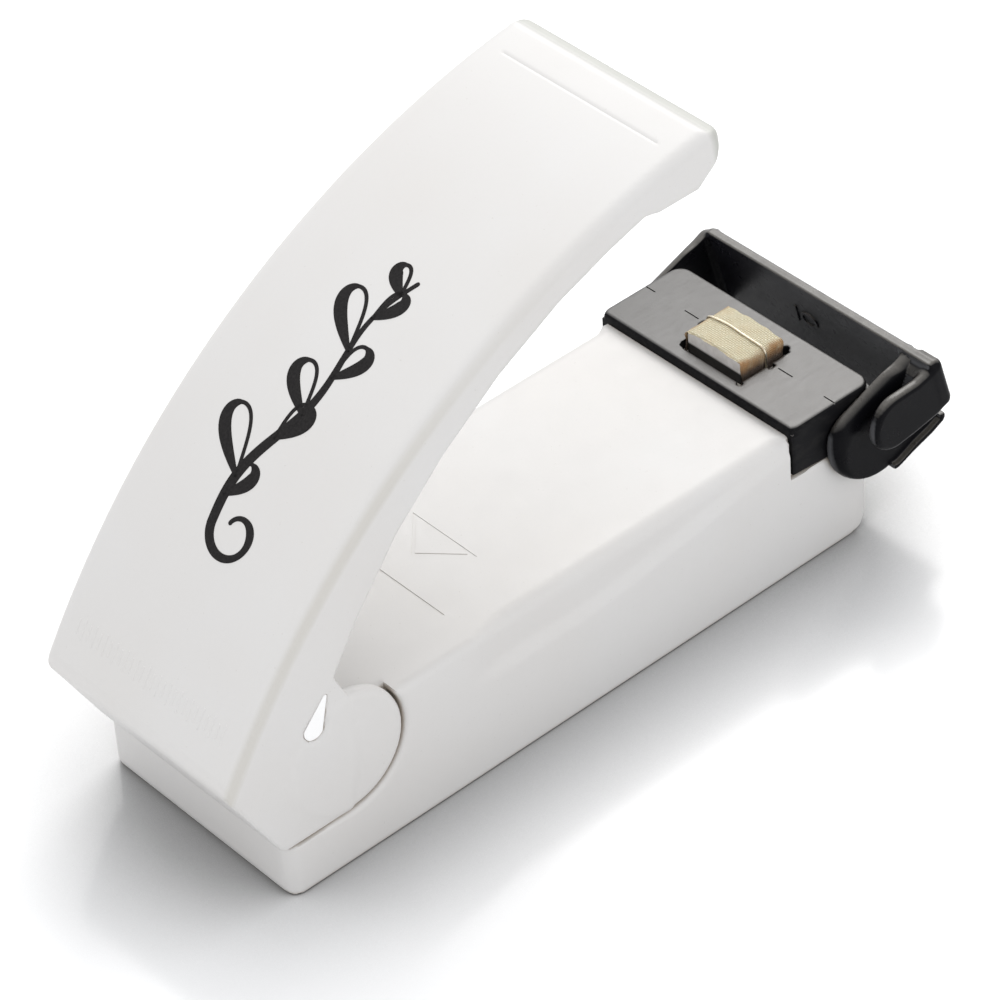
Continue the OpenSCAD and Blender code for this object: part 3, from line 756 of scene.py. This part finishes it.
def glass_cloth():
    """Plain weave with 0.36 mm pitch, browned where it folds over the ends of the block."""
    mat = Material("glass_cloth", (0.62, 0.48, 0.28), roughness=0.5, Specular_IOR_Level=0.35)
    x, y, z = (mat.axis(i) for i in range(3))
    # v runs along the cloth, over the crown and down both ends
    v = mat.add(y, mat.times(mat.minus(z, 28.0), mat.math("SIGN", mat.times(y, -1.0))))
    wander = mat.times(mat.minus(mat.noise(scale=1.3, detail=2.0), 0.5), 0.35)
    weave_rate = 2 * math.pi / (2 * 0.36)       # radians per mm, two threads to a wave
    phases = [mat.times(mat.add(along, wander), weave_rate) for along in (x, v)]
    over = mat.times(*(mat.math("SINE", phase) for phase in phases))
    gaps = mat.times(*(mat.size(mat.math("COSINE", phase)) for phase in phases))
    weave = mat.minus(mat.size(over), mat.times(gaps, 0.6))
    blot = mat.noise(scale=0.55, detail=5.0, rough=0.6)

    threads = mat.mix(mat.ramp(over, at=(-0.25, 0.25)),
                      low=(0.655, 0.61, 0.435), high=(0.75, 0.715, 0.55))
    tone = mat.mix(mat.ramp(weave, at=(-0.5, 0.55)), low=(0.40, 0.33, 0.20), high=threads)
    tone = mat.over(tone, (0.57, 0.45, 0.27), mat.ramp(blot, at=(0.42, 0.72)), amount=0.40)
    spots = mat.ramp(mat.noise(scale=2.3, rough=0.6), at=(0.60, 0.70))
    tone = mat.over(tone, (0.46, 0.31, 0.15), spots, amount=0.35)

    ragged = mat.times(mat.noise(scale=0.7, detail=4.0), 1.6)
    outer = mat.ramp(mat.add(mat.size(y), ragged), at=(5.5, 6.4))
    lower = mat.ramp(mat.add(mat.minus(28.0, z), mat.times(blot, 1.2)), at=(1.15, 2.6))
    burn = mat.math("MAXIMUM", outer, lower)
    # the scorching starts at the corners of each end and leaves the middle pale for longer
    off_middle = mat.size(mat.minus(x, WIRE_X - 0.45))
    reach = mat.add(off_middle, mat.times(mat.minus(28.0, z), 1.1))
    burn = mat.times(burn, mat.ramp(reach, at=(1.2, 3.4), to=(0.62, 1.0)))
    mottle = mat.ramp(mat.noise(scale=1.2, detail=5.0, rough=0.7), at=(0.3, 0.75))
    scorch = mat.mix(mottle, low=(0.44, 0.235, 0.09), high=(0.21, 0.10, 0.042))
    # each end goes darker towards its bottom, to near black
    scorch = mat.mix(mat.ramp(z, at=(26.9, 25.4)), scorch, (0.05, 0.03, 0.025))
    mat.set(Base_Color=mat.over(tone, scorch, burn, amount=0.94),
            Roughness=mat.ramp(weave, at=(-0.4, 0.6), to=(0.62, 0.42)))
    mat.bump(weave, depth=0.07, strength=0.9)
    mat.grain(depth=0.12, strength=0.5, scale=0.9)


def cell_jacket():
    """Dark green sleeve with pale bands 4 mm wide at x = -19.5 and 19.5."""
    mat = Material("cell_jacket", (0.08, 0.2, 0.14), roughness=0.3, Coat_Weight=0.3)
    off_band = mat.size(mat.minus(mat.size(mat.axis(0)), 19.5))
    green = mat.mix(mat.noise(scale=0.4, detail=2.0),
                    low=(0.05, 0.16, 0.11), high=(0.08, 0.22, 0.15))
    band = mat.math("LESS_THAN", off_band, 2.0)
    mat.set(Base_Color=mat.mix(band, green, (0.62, 0.55, 0.35)))
    mat.grain(depth=0.01, strength=0.4, scale=2.0, detail=2.0)


def black_print():
    mat = Material("black_print", (0.01, 0.009, 0.009), roughness=0.6, Specular_IOR_Level=0.15)
    mottle = mat.ramp(mat.noise(scale=3.0, detail=5.0, rough=0.7), at=(0.35, 0.75))
    mat.set(Base_Color=mat.mix(mottle, low=(0.008, 0.007, 0.007), high=(0.022, 0.020, 0.020)))
    mat.grain(depth=0.004, strength=0.4, scale=9.0, detail=2.0)


def floor_white():
    mat = Material("floor_white", (0.86, 0.86, 0.86), roughness=0.16, Specular_IOR_Level=0.5)
    # painted contact shadow: the floor goes dark grey where ambient occlusion finds the object
    # close by
    clear = mat.ramp(mat.occlusion(samples=12, distance=30), at=(0.35, 0.95))
    white = mat.mix(mat.noise(scale=0.01, detail=2.0),
                    low=(0.875, 0.875, 0.875), high=(0.89, 0.89, 0.89))
    gloss = mat.noise(scale=0.02, detail=2.0)
    mat.set(Base_Color=mat.mix(clear, (0.25, 0.25, 0.25), white),
            Roughness=mat.ramp(gloss, at=(0.3, 0.7), to=(0.14, 0.20)))
    mat.grain(depth=0.01, strength=0.2, scale=0.4, detail=2.0)


white_abs("white_abs")
white_abs("lever_white", lever_tint)
black_plastic()
black_satin()
mottled("silicone_red", (0.55, 0.16, 0.10), roughness=0.6,
        low=(0.50, 0.14, 0.09), high=(0.60, 0.20, 0.13),
        blotch=dict(scale=1.4), grain=dict(depth=0.03, strength=0.6, scale=3.5))
metal("steel", (0.62, 0.62, 0.64), (0.50, 0.50, 0.52), roughness=0.26, scale=1.8,
      stretch=(1, 8, 1))
metal("spring_steel", (0.52, 0.52, 0.54), (0.36, 0.35, 0.34), roughness=0.32, scale=2.0)
metal("resistance_wire", (0.80, 0.74, 0.60), (0.60, 0.50, 0.36), roughness=0.30, scale=2.6)
metal("brass", (0.80, 0.62, 0.30), (0.66, 0.46, 0.20), roughness=0.30, scale=1.2)
metal("nickel_plate", (0.68, 0.67, 0.63), (0.58, 0.56, 0.52), roughness=0.24, scale=1.0)
mottled("heat_resistant_resin", (0.7, 0.68, 0.62), roughness=0.55,
        low=(0.72, 0.70, 0.64), high=(0.62, 0.59, 0.52),
        blotch=dict(scale=0.8, detail=4.0), grain=dict(depth=0.02, strength=0.6, scale=5.0))
white_ceramic()
glass_cloth()
cell_jacket()
for name, light, dark in (("red_insulation", (0.55, 0.03, 0.02), (0.40, 0.02, 0.02)),
                          ("black_insulation", (0.02, 0.02, 0.02), (0.04, 0.04, 0.04))):
    mottled(name, light, roughness=0.42, low=light, high=dark,
            blotch=dict(scale=1.0), grain=dict(depth=0.015, strength=0.5, scale=3.0))
black_print()
# painted light: bright white for the floors of the drop-shaped hollows on the lever
mottled("painted_light_white", (0.95, 0.95, 0.95), roughness=0.3,
        low=(0.96, 0.96, 0.955), high=(0.93, 0.93, 0.925), blotch=dict(scale=1.2),
        grain=dict(depth=0.01, strength=0.4, scale=3.0, detail=2.0))


def finish(ob, body, slot, material=None, replaces=None):
    ob.data.materials.clear()
    ob.data.materials.append(MATERIALS[material or slot])
    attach(ob, body)
    if replaces:
        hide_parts(replaces)


# ---------------------------------------------------------------- base housing
CEILING_Z = DECK_Z - 1.6                # underside of the deck
HINGE_CAVITY = ([(-49.9, -1), (-49.9, 6.6), (-48.4, 7.6)] + arc(CORE_ARC, 4.9, 180, 90, 16)
                + [(-25, CEILING_Z), (-25, -1)])
# walls and blocks left standing in the cavity: low corner, high corner
INNER_WALLS = [
    ((-30.2, -18, 2.2), (-28.6, 18, 17.2)), ((27.75, -18, 2.2), (29.3, 18, 17.2)),
    ((40.2, -18, 9.2), (54, 18, 11)), ((41.2, -2.2, 10.5), (45.2, 2.2, 17.4)),
    ((-28.7, -0.25, 17.4), (28, 0.25, 22.5))]
POST_X, POST_Y = (-45.6, 45.9), 12.4    # four round posts, bored from below
# openings: through the deck under the head plate, and in the middle at the hinge end
OPENINGS = [((41, -12.5, DECK_Z - 3), (53.8, 12.5, DECK_Z + 1)),
            ((-60, -3.6, 8.6), (-25.5, 3.6, DECK_Z + 1))]


def rounded_rectangle(x0, x1, half, radius):
    points = []
    for cx, cy, start in ((x1 - radius, half - radius, 0), (x0 + radius, half - radius, 90),
                          (x0 + radius, -half + radius, 180), (x1 - radius, -half + radius, 270)):
        points += arc((cx, cy), radius, start, start + 90, 10)
    return points


def base_cavity():
    """The inside of the base as a solid, to be cut away."""
    cavity = block((-30, -17, -1), (53.4, 17, CEILING_Z))
    boolean(cavity, prism(HINGE_CAVITY, -14.4, 14.4), "UNION")
    boolean(cavity, block((-49.9, -17, -1.001), (-29, 17, 6.6)), "UNION")
    for low, high in INNER_WALLS:
        boolean(cavity, block(low, high))
    for s in (-1, 1):
        for x in POST_X:
            boolean(cavity, rod(x, s * POST_Y, 2.7, 1.9, 11.0, plane="xy"))
        boolean(cavity, rod(HINGE_X, HINGE_Z, 3.6, *sorted((s * 12.4, s * 14.5))))
        for x in POST_X:
            boolean(cavity, rod(x, s * POST_Y, 1.1, -1, 9, plane="xy"), "UNION")
    # shallow seat in the underside
    seat = prism(rounded_rectangle(-49.7, 49.7, 17.3, 2), -1.002, 1.9, plane="xy")
    boolean(cavity, seat, "UNION")
    for low, high in OPENINGS:
        boolean(cavity, block(low, high), "UNION")
    return cavity


def build_base():
    base = shell("housing_shell", base_distance, (BASE_X0, -19, 0), (BASE_X1, 19, 28.5), 0.44)
    boolean(base, base_cavity())
    boolean(base, rod(HINGE_X, HINGE_Z, 1.55, -20, 20))
    # engraved line across the deck, and the outline of an arrowhead pointing to -x
    boolean(base, block((-17.75, -12.2, DECK_Z - 0.09), (-17.4, 12.2, DECK_Z + 1)))
    arrow = prism([(-6.6, -6.5), (-6.6, 6.5), (-12.6, 0)], DECK_Z - 0.07, DECK_Z + 1, "xy")
    boolean(arrow, prism([(-7.15, -5.2), (-7.15, 5.2), (-11.95, 0)],
                         DECK_Z - 1, DECK_Z + 2, "xy"))
    boolean(base, arrow)
    sharpen(base, 38)
    finish(base, "base", "white_abs", replaces="base_housing")


# ---------------------------------------------------------------- lever, latch, head plate
def build_lever():
    lever = shell("lever_shell", lever_distance, (-60, -19, 8.9), (29.2, 19, 83.6), 0.445)
    boolean(lever, rod(HINGE_X, HINGE_Z, 1.5, -17.6, 17.6))
    sharpen(lever, 45)
    finish(lever, "lever", "white_abs", "lever_white", "press_lever")


def build_latch():
    bail = shell("bail_shell", latch_distance, (45, -25.3, 9.9), (66.7, 21.7, 28.2), 0.21)
    sharpen(bail, 50)
    finish(bail, "latch", "black_satin", replaces="latch_bail")


def build_head_plate():
    plate = shell("head_plate_shell", plate_distance,
                  (PLATE_X0, -21, 15.4), (55.4, 21, PLATE_Z), 0.21)
    # shallow grooves in the top, in line along y: centre, half length
    for s, (y, half) in product((-1, 1), ((18, 1.1), (9.4, 1.4))):
        boolean(plate, block((WIRE_X + 0.2, s * y - half, PLATE_Z - 0.15),
                             (WIRE_X + 0.42, s * y + half, 30)))
    sharpen(plate, 45)
    finish(plate, "base", "black_plastic", replaces="head_plate")


# ---------------------------------------------------------------- heater block, cloth and wire
CLOTH_GAP = 0.16                        # between the crown's end and the hanging cloth
CLOTH_SINK = 0.1                        # cloth below the crown line
CLOTH_FOLD_R = 1.0
CLOTH_FOOT_Z = 23.85
CLOTH_X0, CLOTH_X1 = 43.42, 51.48


def build_heater_block():
    body = shell("heater_block_body", block_distance, (43.5, -5.5, 22.3), (51.4, 5.5, 28.0), 0.16)
    sharpen(body, 45)
    finish(body, "heater", "white_ceramic_filled", replaces="heater_block")


def cloth_profile(lift=0.0):
    """Path of the cloth in (y, z): up one end, over the crown, down the other."""
    fold_y = BLOCK_END - CLOTH_FOLD_R
    fold_z = crown(fold_y) - CLOTH_FOLD_R
    half = [(y, crown(y) - CLOTH_SINK + lift) for y in np.linspace(0, fold_y, 26)]
    for angle in np.radians(np.linspace(90, 0, 12)[1:]):
        half.append((fold_y + (CLOTH_FOLD_R + CLOTH_GAP + lift) * math.cos(angle),
                     fold_z + (CLOTH_FOLD_R - CLOTH_SINK + lift) * math.sin(angle)))
    for z in np.linspace(fold_z, CLOTH_FOOT_Z, 16)[1:]:
        half.append((BLOCK_END + CLOTH_GAP + lift, z))
    return [(-y, z) for y, z in half[:0:-1]] + half


def cloth_point(y, z, t, u, phase):
    """Rumpled point of the cloth, t along its profile and u across from -x to +x."""
    wave = (0.10 * math.sin(9 * t * math.pi + phase[0])
            + 0.06 * math.sin(23 * t * math.pi + phase[1]))
    x0 = CLOTH_X0 + 0.6 * wave
    x1 = CLOTH_X1 + 0.06 * math.sin(11 * t * math.pi + phase[2])
    x = x0 + (x1 - x0) * u
    ripple = (0.035 * math.sin(2.1 * x + 1.7 * y + phase[3])
              + 0.02 * math.sin(4.7 * x - 3.1 * y + phase[4]))
    if abs(y) <= 5.0:
        # raw edges droop a little over the corner
        edge = max(0.06 - u, u - 0.94, 0) / 0.06
        return x, y, z + ripple - 0.22 * edge * edge
    hang = 28.0 - z
    flare = 0.10 * abs(math.sin(1.9 * x + phase[5] + 0.8 * hang)) * min(hang / 2.0, 1)
    shift = 0.10 * math.sin(2.2 * hang + phase[6]) * (2 * u - 1)
    return x + shift, y + math.copysign(flare + ripple * 0.6, y), z


def build_cloth():
    profile = cloth_profile()
    phase = np.random.RandomState(5).rand(8) * 6.28
    across, along = 64, len(profile)
    bm = bmesh.new()
    rows = []
    for j, (y, z) in enumerate(profile):
        points = [cloth_point(y, z, j / (along - 1), i / across, phase)
                  for i in range(across + 1)]
        rows.append([bm.verts.new([c * MM for c in point]) for point in points])
    for row, after in zip(rows, rows[1:]):
        for i in range(across):
            bm.faces.new((row[i], row[i + 1], after[i + 1], after[i]))
    cloth = object_from(bm, "heater_cloth", "cloth")
    # the normals must look outwards, because the cloth is thickened inwards
    middle = cloth.data.polygons[(along // 2) * across + across // 2]
    if middle.normal.z < 0:
        cloth.data.flip_normals()
    solidify(cloth, thickness=0.13, offset=-1)
    sharpen(cloth, 60)
    finish(cloth, "heater", "glass_cloth", replaces="ptfe_cover")


def build_wire():
    """Wire over the cloth, then straight down at both ends."""
    over = [(WIRE_X + 0.06 * math.sin(0.9 * y), y, z)
            for y, z in cloth_profile(lift=0.19) if z > 24.6]
    end_y = abs(over[0][1])
    tail_z = np.linspace(24.4, 17.2, 16)
    path = ([(WIRE_X, -end_y, z) for z in tail_z[::-1]] + over
            + [(WIRE_X, end_y, z) for z in tail_z])
    finish(tube("heater_wire", path, radius=0.17, sides=14), "heater", "resistance_wire",
           replaces="heating_wire")


# ---------------------------------------------------------------- springs
STEPS_PER_TURN = 28


def heater_coil(y):
    """Path of an upright spring; its end turns are closed."""
    turns, flat, radius = 6, 0.8, 1.7   # flat is the part of a turn that doesn't climb
    bottom, top = 11.35, 20.45
    count = turns * STEPS_PER_TURN
    path = []
    for i in range(count + 1):
        turn = turns * i / count
        climb = min(max((turn - flat) / (turns - 2 * flat), 0), 1)
        path.append((47.45 + radius * math.cos(2 * math.pi * turn),
                     y + radius * math.sin(2 * math.pi * turn),
                     bottom + (top - bottom) * climb))
    return path


def build_heater_springs():
    bm = bmesh.new()
    for s in (-1, 1):
        add_tube(bm, heater_coil(s * 9.3), radius=0.3, sides=10)
    springs = object_from(bm, "heater_coils")
    finish(springs, "base", "spring_steel", replaces="heater_springs")
    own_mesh(springs)


def smooth_path(points):
    """Rounds off a coarse list of points with a Catmull-Rom curve, 8 steps to a span."""
    p = [np.array(point, float) for point in points]
    p = [2 * p[0] - p[1]] + p + [2 * p[-1] - p[-2]]
    path = []
    for i in range(1, len(p) - 2):
        before, start, stop, after = p[i - 1:i + 3]
        for k in range(8):
            t = k / 8
            path.append(0.5 * ((2 * start) + (stop - before) * t
                               + (2 * before - 5 * start + 4 * stop - after) * t * t
                               + (3 * start - before - 3 * stop + after) * t ** 3))
    path.append(p[-2])
    return path


def build_return_spring():
    turns, radius, half = 5, 2.4, 2.6   # half is half the coil's length along y
    count = turns * STEPS_PER_TURN
    coil = []
    for i in range(count + 1):
        angle = 2 * math.pi * turns * i / count
        coil.append((HINGE_X + radius * math.cos(angle), -half + 2 * half * i / count,
                     HINGE_Z + radius * math.sin(angle)))
    lead_in = smooth_path([(-28.6, -half, 16.2), (-33, -half, 16.2),
                           (HINGE_X + 3, -half, HINGE_Z - 2.0), coil[0]])[:-1]
    lead_out = smooth_path([coil[-1], (HINGE_X + 2.3, half, HINGE_Z + 2.5), (-39.4, half, 27),
                            (-39.9, half, 32), (-39.5, half, 38.3)])[1:]
    spring = tube("return_spring_wire", lead_in + coil + lead_out, radius=0.45, sides=12)
    finish(spring, "lever", "spring_steel", replaces="lever_return_spring")


# ---------------------------------------------------------------- CAD pieces that stay visible
# piece: material, bevel width
DRESS = {
    "base_bottom_cover": ("white_abs", 0.25), "battery_door": ("white_abs", 0.2),
    "pressure_pad": ("silicone_red", 0.15), "hinge_pin": ("steel", 0.2),
    "heater_carrier": ("heat_resistant_resin", 0.2), "wire_terminals": ("brass", 0.08),
    "switch_moving_contact": ("brass", 0.05), "switch_fixed_contact": ("brass", 0.05),
    "battery_cell_left": ("cell_jacket", 0.3), "battery_cell_right": ("cell_jacket", 0.3),
    "battery_bridge_contact": ("nickel_plate", 0.05),
    "battery_positive_contact": ("nickel_plate", 0.05),
    "battery_negative_contact": ("nickel_plate", 0.05),
    "lead_wire_positive": ("red_insulation", 0.0),
    "lead_wire_negative": ("black_insulation", 0.0), "case_screws": ("steel", 0.08)}


def dress_cad_pieces():
    for name, (slot, width) in DRESS.items():
        ob = NODES[name]
        ob.data.materials.clear()
        ob.data.materials.append(MATERIALS[slot])
        weld = ob.modifiers.new("weld", "WELD")
        weld.merge_threshold = 1e-6
        if width:
            bevel = ob.modifiers.new("bevel", "BEVEL")
            bevel.width = width * MM
            bevel.segments = 2
            bevel.limit_method = "ANGLE"
            bevel.angle_limit = math.radians(35)
            bevel.harden_normals = False
            bevel.use_clamp_overlap = True


# ---------------------------------------------------------------- print on the lever
PRINT_SCALE = 1.08


def arch_length(degrees):
    """Length along the arch from its top point to an angle about its centre."""
    return math.radians(degrees - 90) * ARCH_R


def on_arch(along, y, height):
    """Point on the lever's top, in metres."""
    angle = math.radians(90) + along / ARCH_R
    return ((ARCH_X + (ARCH_R + height) * math.cos(angle)) * MM, y * MM,
            (ARCH_Z + (ARCH_R + height) * math.sin(angle)) * MM)


def unit_rows(vectors):
    return vectors / np.maximum(np.linalg.norm(vectors, axis=1), 1e-9)[:, None]


def add_ribbon(bm, points, widths):
    """Flat stroke with round ends along points (along, y), laid on the arch."""
    def vert(point):
        return bm.verts.new(on_arch(*point, 0.02))

    points = np.asarray(points, float)
    half = widths / 2
    tangent = unit_rows(np.gradient(points, axis=0))
    normal = np.stack([-tangent[:, 1], tangent[:, 0]], 1)
    rows = [[vert(points[i] + normal[i] * half[i] * k) for k in (1, 0.33, -0.33, -1)]
            for i in range(len(points))]
    for row, after in zip(rows, rows[1:]):
        for k in range(3):
            bm.faces.new((row[k], row[k + 1], after[k + 1], after[k]))
    for end, sign in ((0, -1), (-1, 1)):
        across, ahead = normal[end] * half[end], tangent[end] * sign * half[end]
        ring = [vert(points[end] + across * math.cos(a) + ahead * math.sin(a))
                for a in np.linspace(0, math.pi, 9)]
        middle = vert(points[end])
        for a, b in zip(ring, ring[1:]):
            bm.faces.new((middle, a, b) if sign > 0 else (middle, b, a))


def stem(t):
    return np.array((1.0 + 37.0 * t, -4.6 + 5.4 * t + 1.1 * math.sin(9.5 * t)))


def vine():
    """The stem, ending in a curl, and its stroke widths."""
    line = [stem(t) for t in np.linspace(0, 1, 60)]
    end = line[-1]
    dx, dy = end - line[-2]
    heading = math.atan2(dy, dx)
    radius = 3.9
    centre = end + radius * np.array((math.sin(heading), -math.cos(heading)))
    for t in np.linspace(0.03, 1, 70):
        angle = heading + math.pi / 2 - t * 5.6
        shrunk = radius * (1 - 0.62 * t)
        line.append(centre + shrunk * np.array((math.cos(angle), math.sin(angle))))
    share = np.arange(len(line)) / (len(line) - 1)
    widths = (0.55 + 0.75 * np.sin(np.clip(share * 1.25, 0, 1) * math.pi) ** 2
              + 0.5 * np.exp(-((share - 0.78) / 0.08) ** 2))
    return line, widths * 1.2


# leaves: place along the stem, side, length, width
LEAVES = [(0.06, 1, 4.2, 1.1), (0.17, -1, 4.6, 1.2), (0.30, 1, 8.6, 1.9), (0.40, -1, 5.4, 1.5),
          (0.55, 1, 7.0, 1.8), (0.66, -1, 5.6, 1.5), (0.83, 1, 9.2, 2.1), (0.90, -1, 5.0, 1.4)]


def leaf(t, side, length, width):
    """Loop that is thin up one side and thick down the other."""
    axis = np.array((-0.80, 0.60) if side > 0 else (-0.93, -0.37))
    axis /= np.linalg.norm(axis)
    normal = np.array((-axis[1], axis[0]))
    points, widths = [], []
    for q in np.linspace(0, 1, 44):
        reach = math.sin(math.pi * q)
        offset = width * math.sin(2 * math.pi * q) * (0.6 + 0.4 * reach)
        points.append(stem(t) + axis * length * reach ** 1.15 + normal * offset * side)
        swell = math.sin(math.pi * np.clip((q - 0.46) / 0.54, 0, 1))
        widths.append(0.55 + 1.45 * max(0.0, swell))
    return points, np.array(widths)


def build_print():
    """A vine with open leaves, and no lettering."""
    origin = np.array((arch_length(117.2) - 2.0, 1.0))
    bm = bmesh.new()
    for points, widths in [vine()] + [leaf(*row) for row in LEAVES]:
        add_ribbon(bm, origin + PRINT_SCALE * np.array(points), widths)
    ob = object_from(bm, "lever_print", "print")
    solidify(ob, thickness=0.04, offset=0)
    finish(ob, "lever", "white_abs", "black_print")


# ---------------------------------------------------------------- small details
def build_ribs():
    """Low ribs in a row across the lever near the hinge, long and short by turns."""
    half, root, top, inset = 0.2, -0.03, 0.06, 0.15
    middle = arch_length(146.2)
    bm = bmesh.new()
    for i in range(28):
        y = 14.8 - i * 1.1
        end = (3.2 if i % 2 else 2.3) / 2
        corners = []
        for across, along, height in ((half, end, root), (half / 2, end - inset, top)):
            for s, t in ((-1, -1), (1, -1), (1, 1), (-1, 1)):
                point = on_arch(middle + t * along, y + s * across, height)
                corners.append(bm.verts.new(point))
        for face in ((4, 5, 6, 7), (0, 1, 5, 4), (1, 2, 6, 5), (2, 3, 7, 6), (3, 0, 4, 7),
                     (3, 2, 1, 0)):
            bm.faces.new([corners[k] for k in face])
    bmesh.ops.recalc_face_normals(bm, faces=bm.faces)
    bmesh.ops.bevel(bm, geom=list(bm.edges), offset=0.03 * MM, segments=1, affect="EDGES")
    finish(object_from(bm, "lever_ribs", "ribs", recalc=False), "lever", "white_abs",
           "lever_white")


def build_drop_painted_light():
    """Painted light: bright white floors in the drop-shaped hollows above the lobes."""
    heading = math.atan2(DROP_DZ, DROP_DX)
    narrow = (DROP_X + DROP_DX, DROP_Z + DROP_DZ)
    rim = []
    # each end of the drop: centre, radius, first and last angle, points
    for (cx, cz), radius, start, stop, count in (
            (DROP, 1.66, heading + 1.75, heading + 2 * math.pi - 1.75, 25),
            (narrow, 0.3, heading - 1.35, heading + 1.35, 9)):
        for t in np.linspace(start, stop, count):
            rim.append((cx + radius * math.cos(t), cz + radius * math.sin(t)))
    bm = bmesh.new()
    for s in (-1, 1):
        inner, outer = ([bm.verts.new((x * MM, s * y * MM, z * MM)) for x, z in rim]
                        for y in (18.3, 18.82))
        add_prism(bm, inner, outer)
    finish(object_from(bm, "lever_drop_painted_light", "drops"), "lever", "white_abs", "painted_light_white")


def build_bail_mark():
    """Raised ring and bar on the -x face of the latch's cross wall."""
    (top_x, top_z), (low_x, low_z) = WALL[0], WALL[-1]
    down = Vector((low_x - top_x, 0, low_z - top_z)).normalized()
    normal = Vector((down.z, 0, -down.x))
    origin = Vector((top_x, 0, top_z)) + down * 6.6 + normal * 0.02
    root, top = -0.1, 0.2               # heights off the wall
    bm = bmesh.new()

    def vert(a, y, height):
        return bm.verts.new((origin + down * a + Vector((0, y, 0)) + normal * height) * MM)

    outer, inner = 1.75, 1.2
    turns = np.linspace(0, 2 * math.pi, 33)[:-1]
    rings = [[vert(radius * 0.8 * math.cos(t), 0.2 + radius * math.sin(t), height)
              for t in turns]
             for radius, height in ((outer, root), (outer, top), (inner, top), (inner, root))]
    for k in range(4):
        ring, after = rings[k], rings[(k + 1) % 4]
        for i in range(32):
            j = (i + 1) % 32
            bm.faces.new((ring[i], ring[j], after[j], after[i]))
    bar = [(-1.6, 2.5), (1.6, 2.5), (1.6, 3.0), (-1.6, 3.0)]
    add_prism(bm, [vert(a, y, root) for a, y in bar], [vert(a, y, top) for a, y in bar])
    bmesh.ops.recalc_face_normals(bm, faces=bm.faces)
    bmesh.ops.bevel(bm, geom=list(bm.edges), offset=0.07 * MM, segments=2, affect="EDGES")
    finish(object_from(bm, "bail_mark", "mark", recalc=False), "latch", "black_satin")


# ---------------------------------------------------------------- floor, light, camera (metres)
def build_floor():
    floor_white()
    radius = 3.0
    bm = bmesh.new()
    bm.faces.new([bm.verts.new((radius * math.cos(a), radius * math.sin(a), -0.0001))
                  for a in np.linspace(0, 2 * math.pi, 65)[:-1]])
    floor = object_from(bm, "floor", recalc=False)
    floor.data.materials.append(MATERIALS["floor_white"])


def set_world():
    world = bpy.data.worlds.new("studio")
    bpy.context.scene.world = world
    world.use_nodes = True
    background = world.node_tree.nodes["Background"]
    background.inputs["Color"].default_value = (0.97, 0.98, 1.0, 1)
    background.inputs["Strength"].default_value = 1.0
    bpy.context.scene.view_settings.view_transform = "Standard"


def area_light(name, place, target, size, power, color):
    light = bpy.data.lights.new(name, "AREA")
    light.shape = "SQUARE"
    light.size = size
    light.energy = power
    light.color = color
    ob = link(name, light)
    ob.location = place
    aim = Vector(target) - Vector(place)
    ob.rotation_euler = aim.to_track_quat("-Z", "Y").to_euler()


def set_camera():
    data = bpy.data.cameras.new("cam")
    camera = link("cam", data)
    right = (0.743661, -0.666262, -0.055347)
    up = (0.460614, 0.450596, 0.764721)
    back = (-0.484566, -0.594186, 0.64198)
    pose = Matrix((right, up, back)).transposed().to_4x4()
    pose.translation = Vector((-0.30269, -0.375287, 0.429397))
    camera.matrix_world = pose
    data.sensor_width = 36
    data.lens = 168.15
    data.clip_start = 0.01
    bpy.context.scene.camera = camera


build_base()
build_lever()
build_latch()
build_head_plate()
build_heater_block()
build_cloth()
build_wire()
build_heater_springs()
build_return_spring()
dress_cad_pieces()
build_print()
build_ribs()
build_drop_painted_light()
build_bail_mark()
build_floor()
set_world()
area_light("key_back", place=(0.55, 0.43, 0.615), target=(0, 0, 0.03), size=0.56, power=4.0,
           color=(1.0, 0.985, 0.96))
area_light("side_fill", place=(0.2, -1.0, 0.4), target=(0, 0, 0.02), size=0.9, power=1.6,
           color=(0.99, 0.99, 1.0))
area_light("top_soft", place=(-0.5, 0.15, 0.75), target=(0, 0, 0.03), size=0.8, power=1.3,
           color=(1.0, 0.99, 0.975))
set_camera()
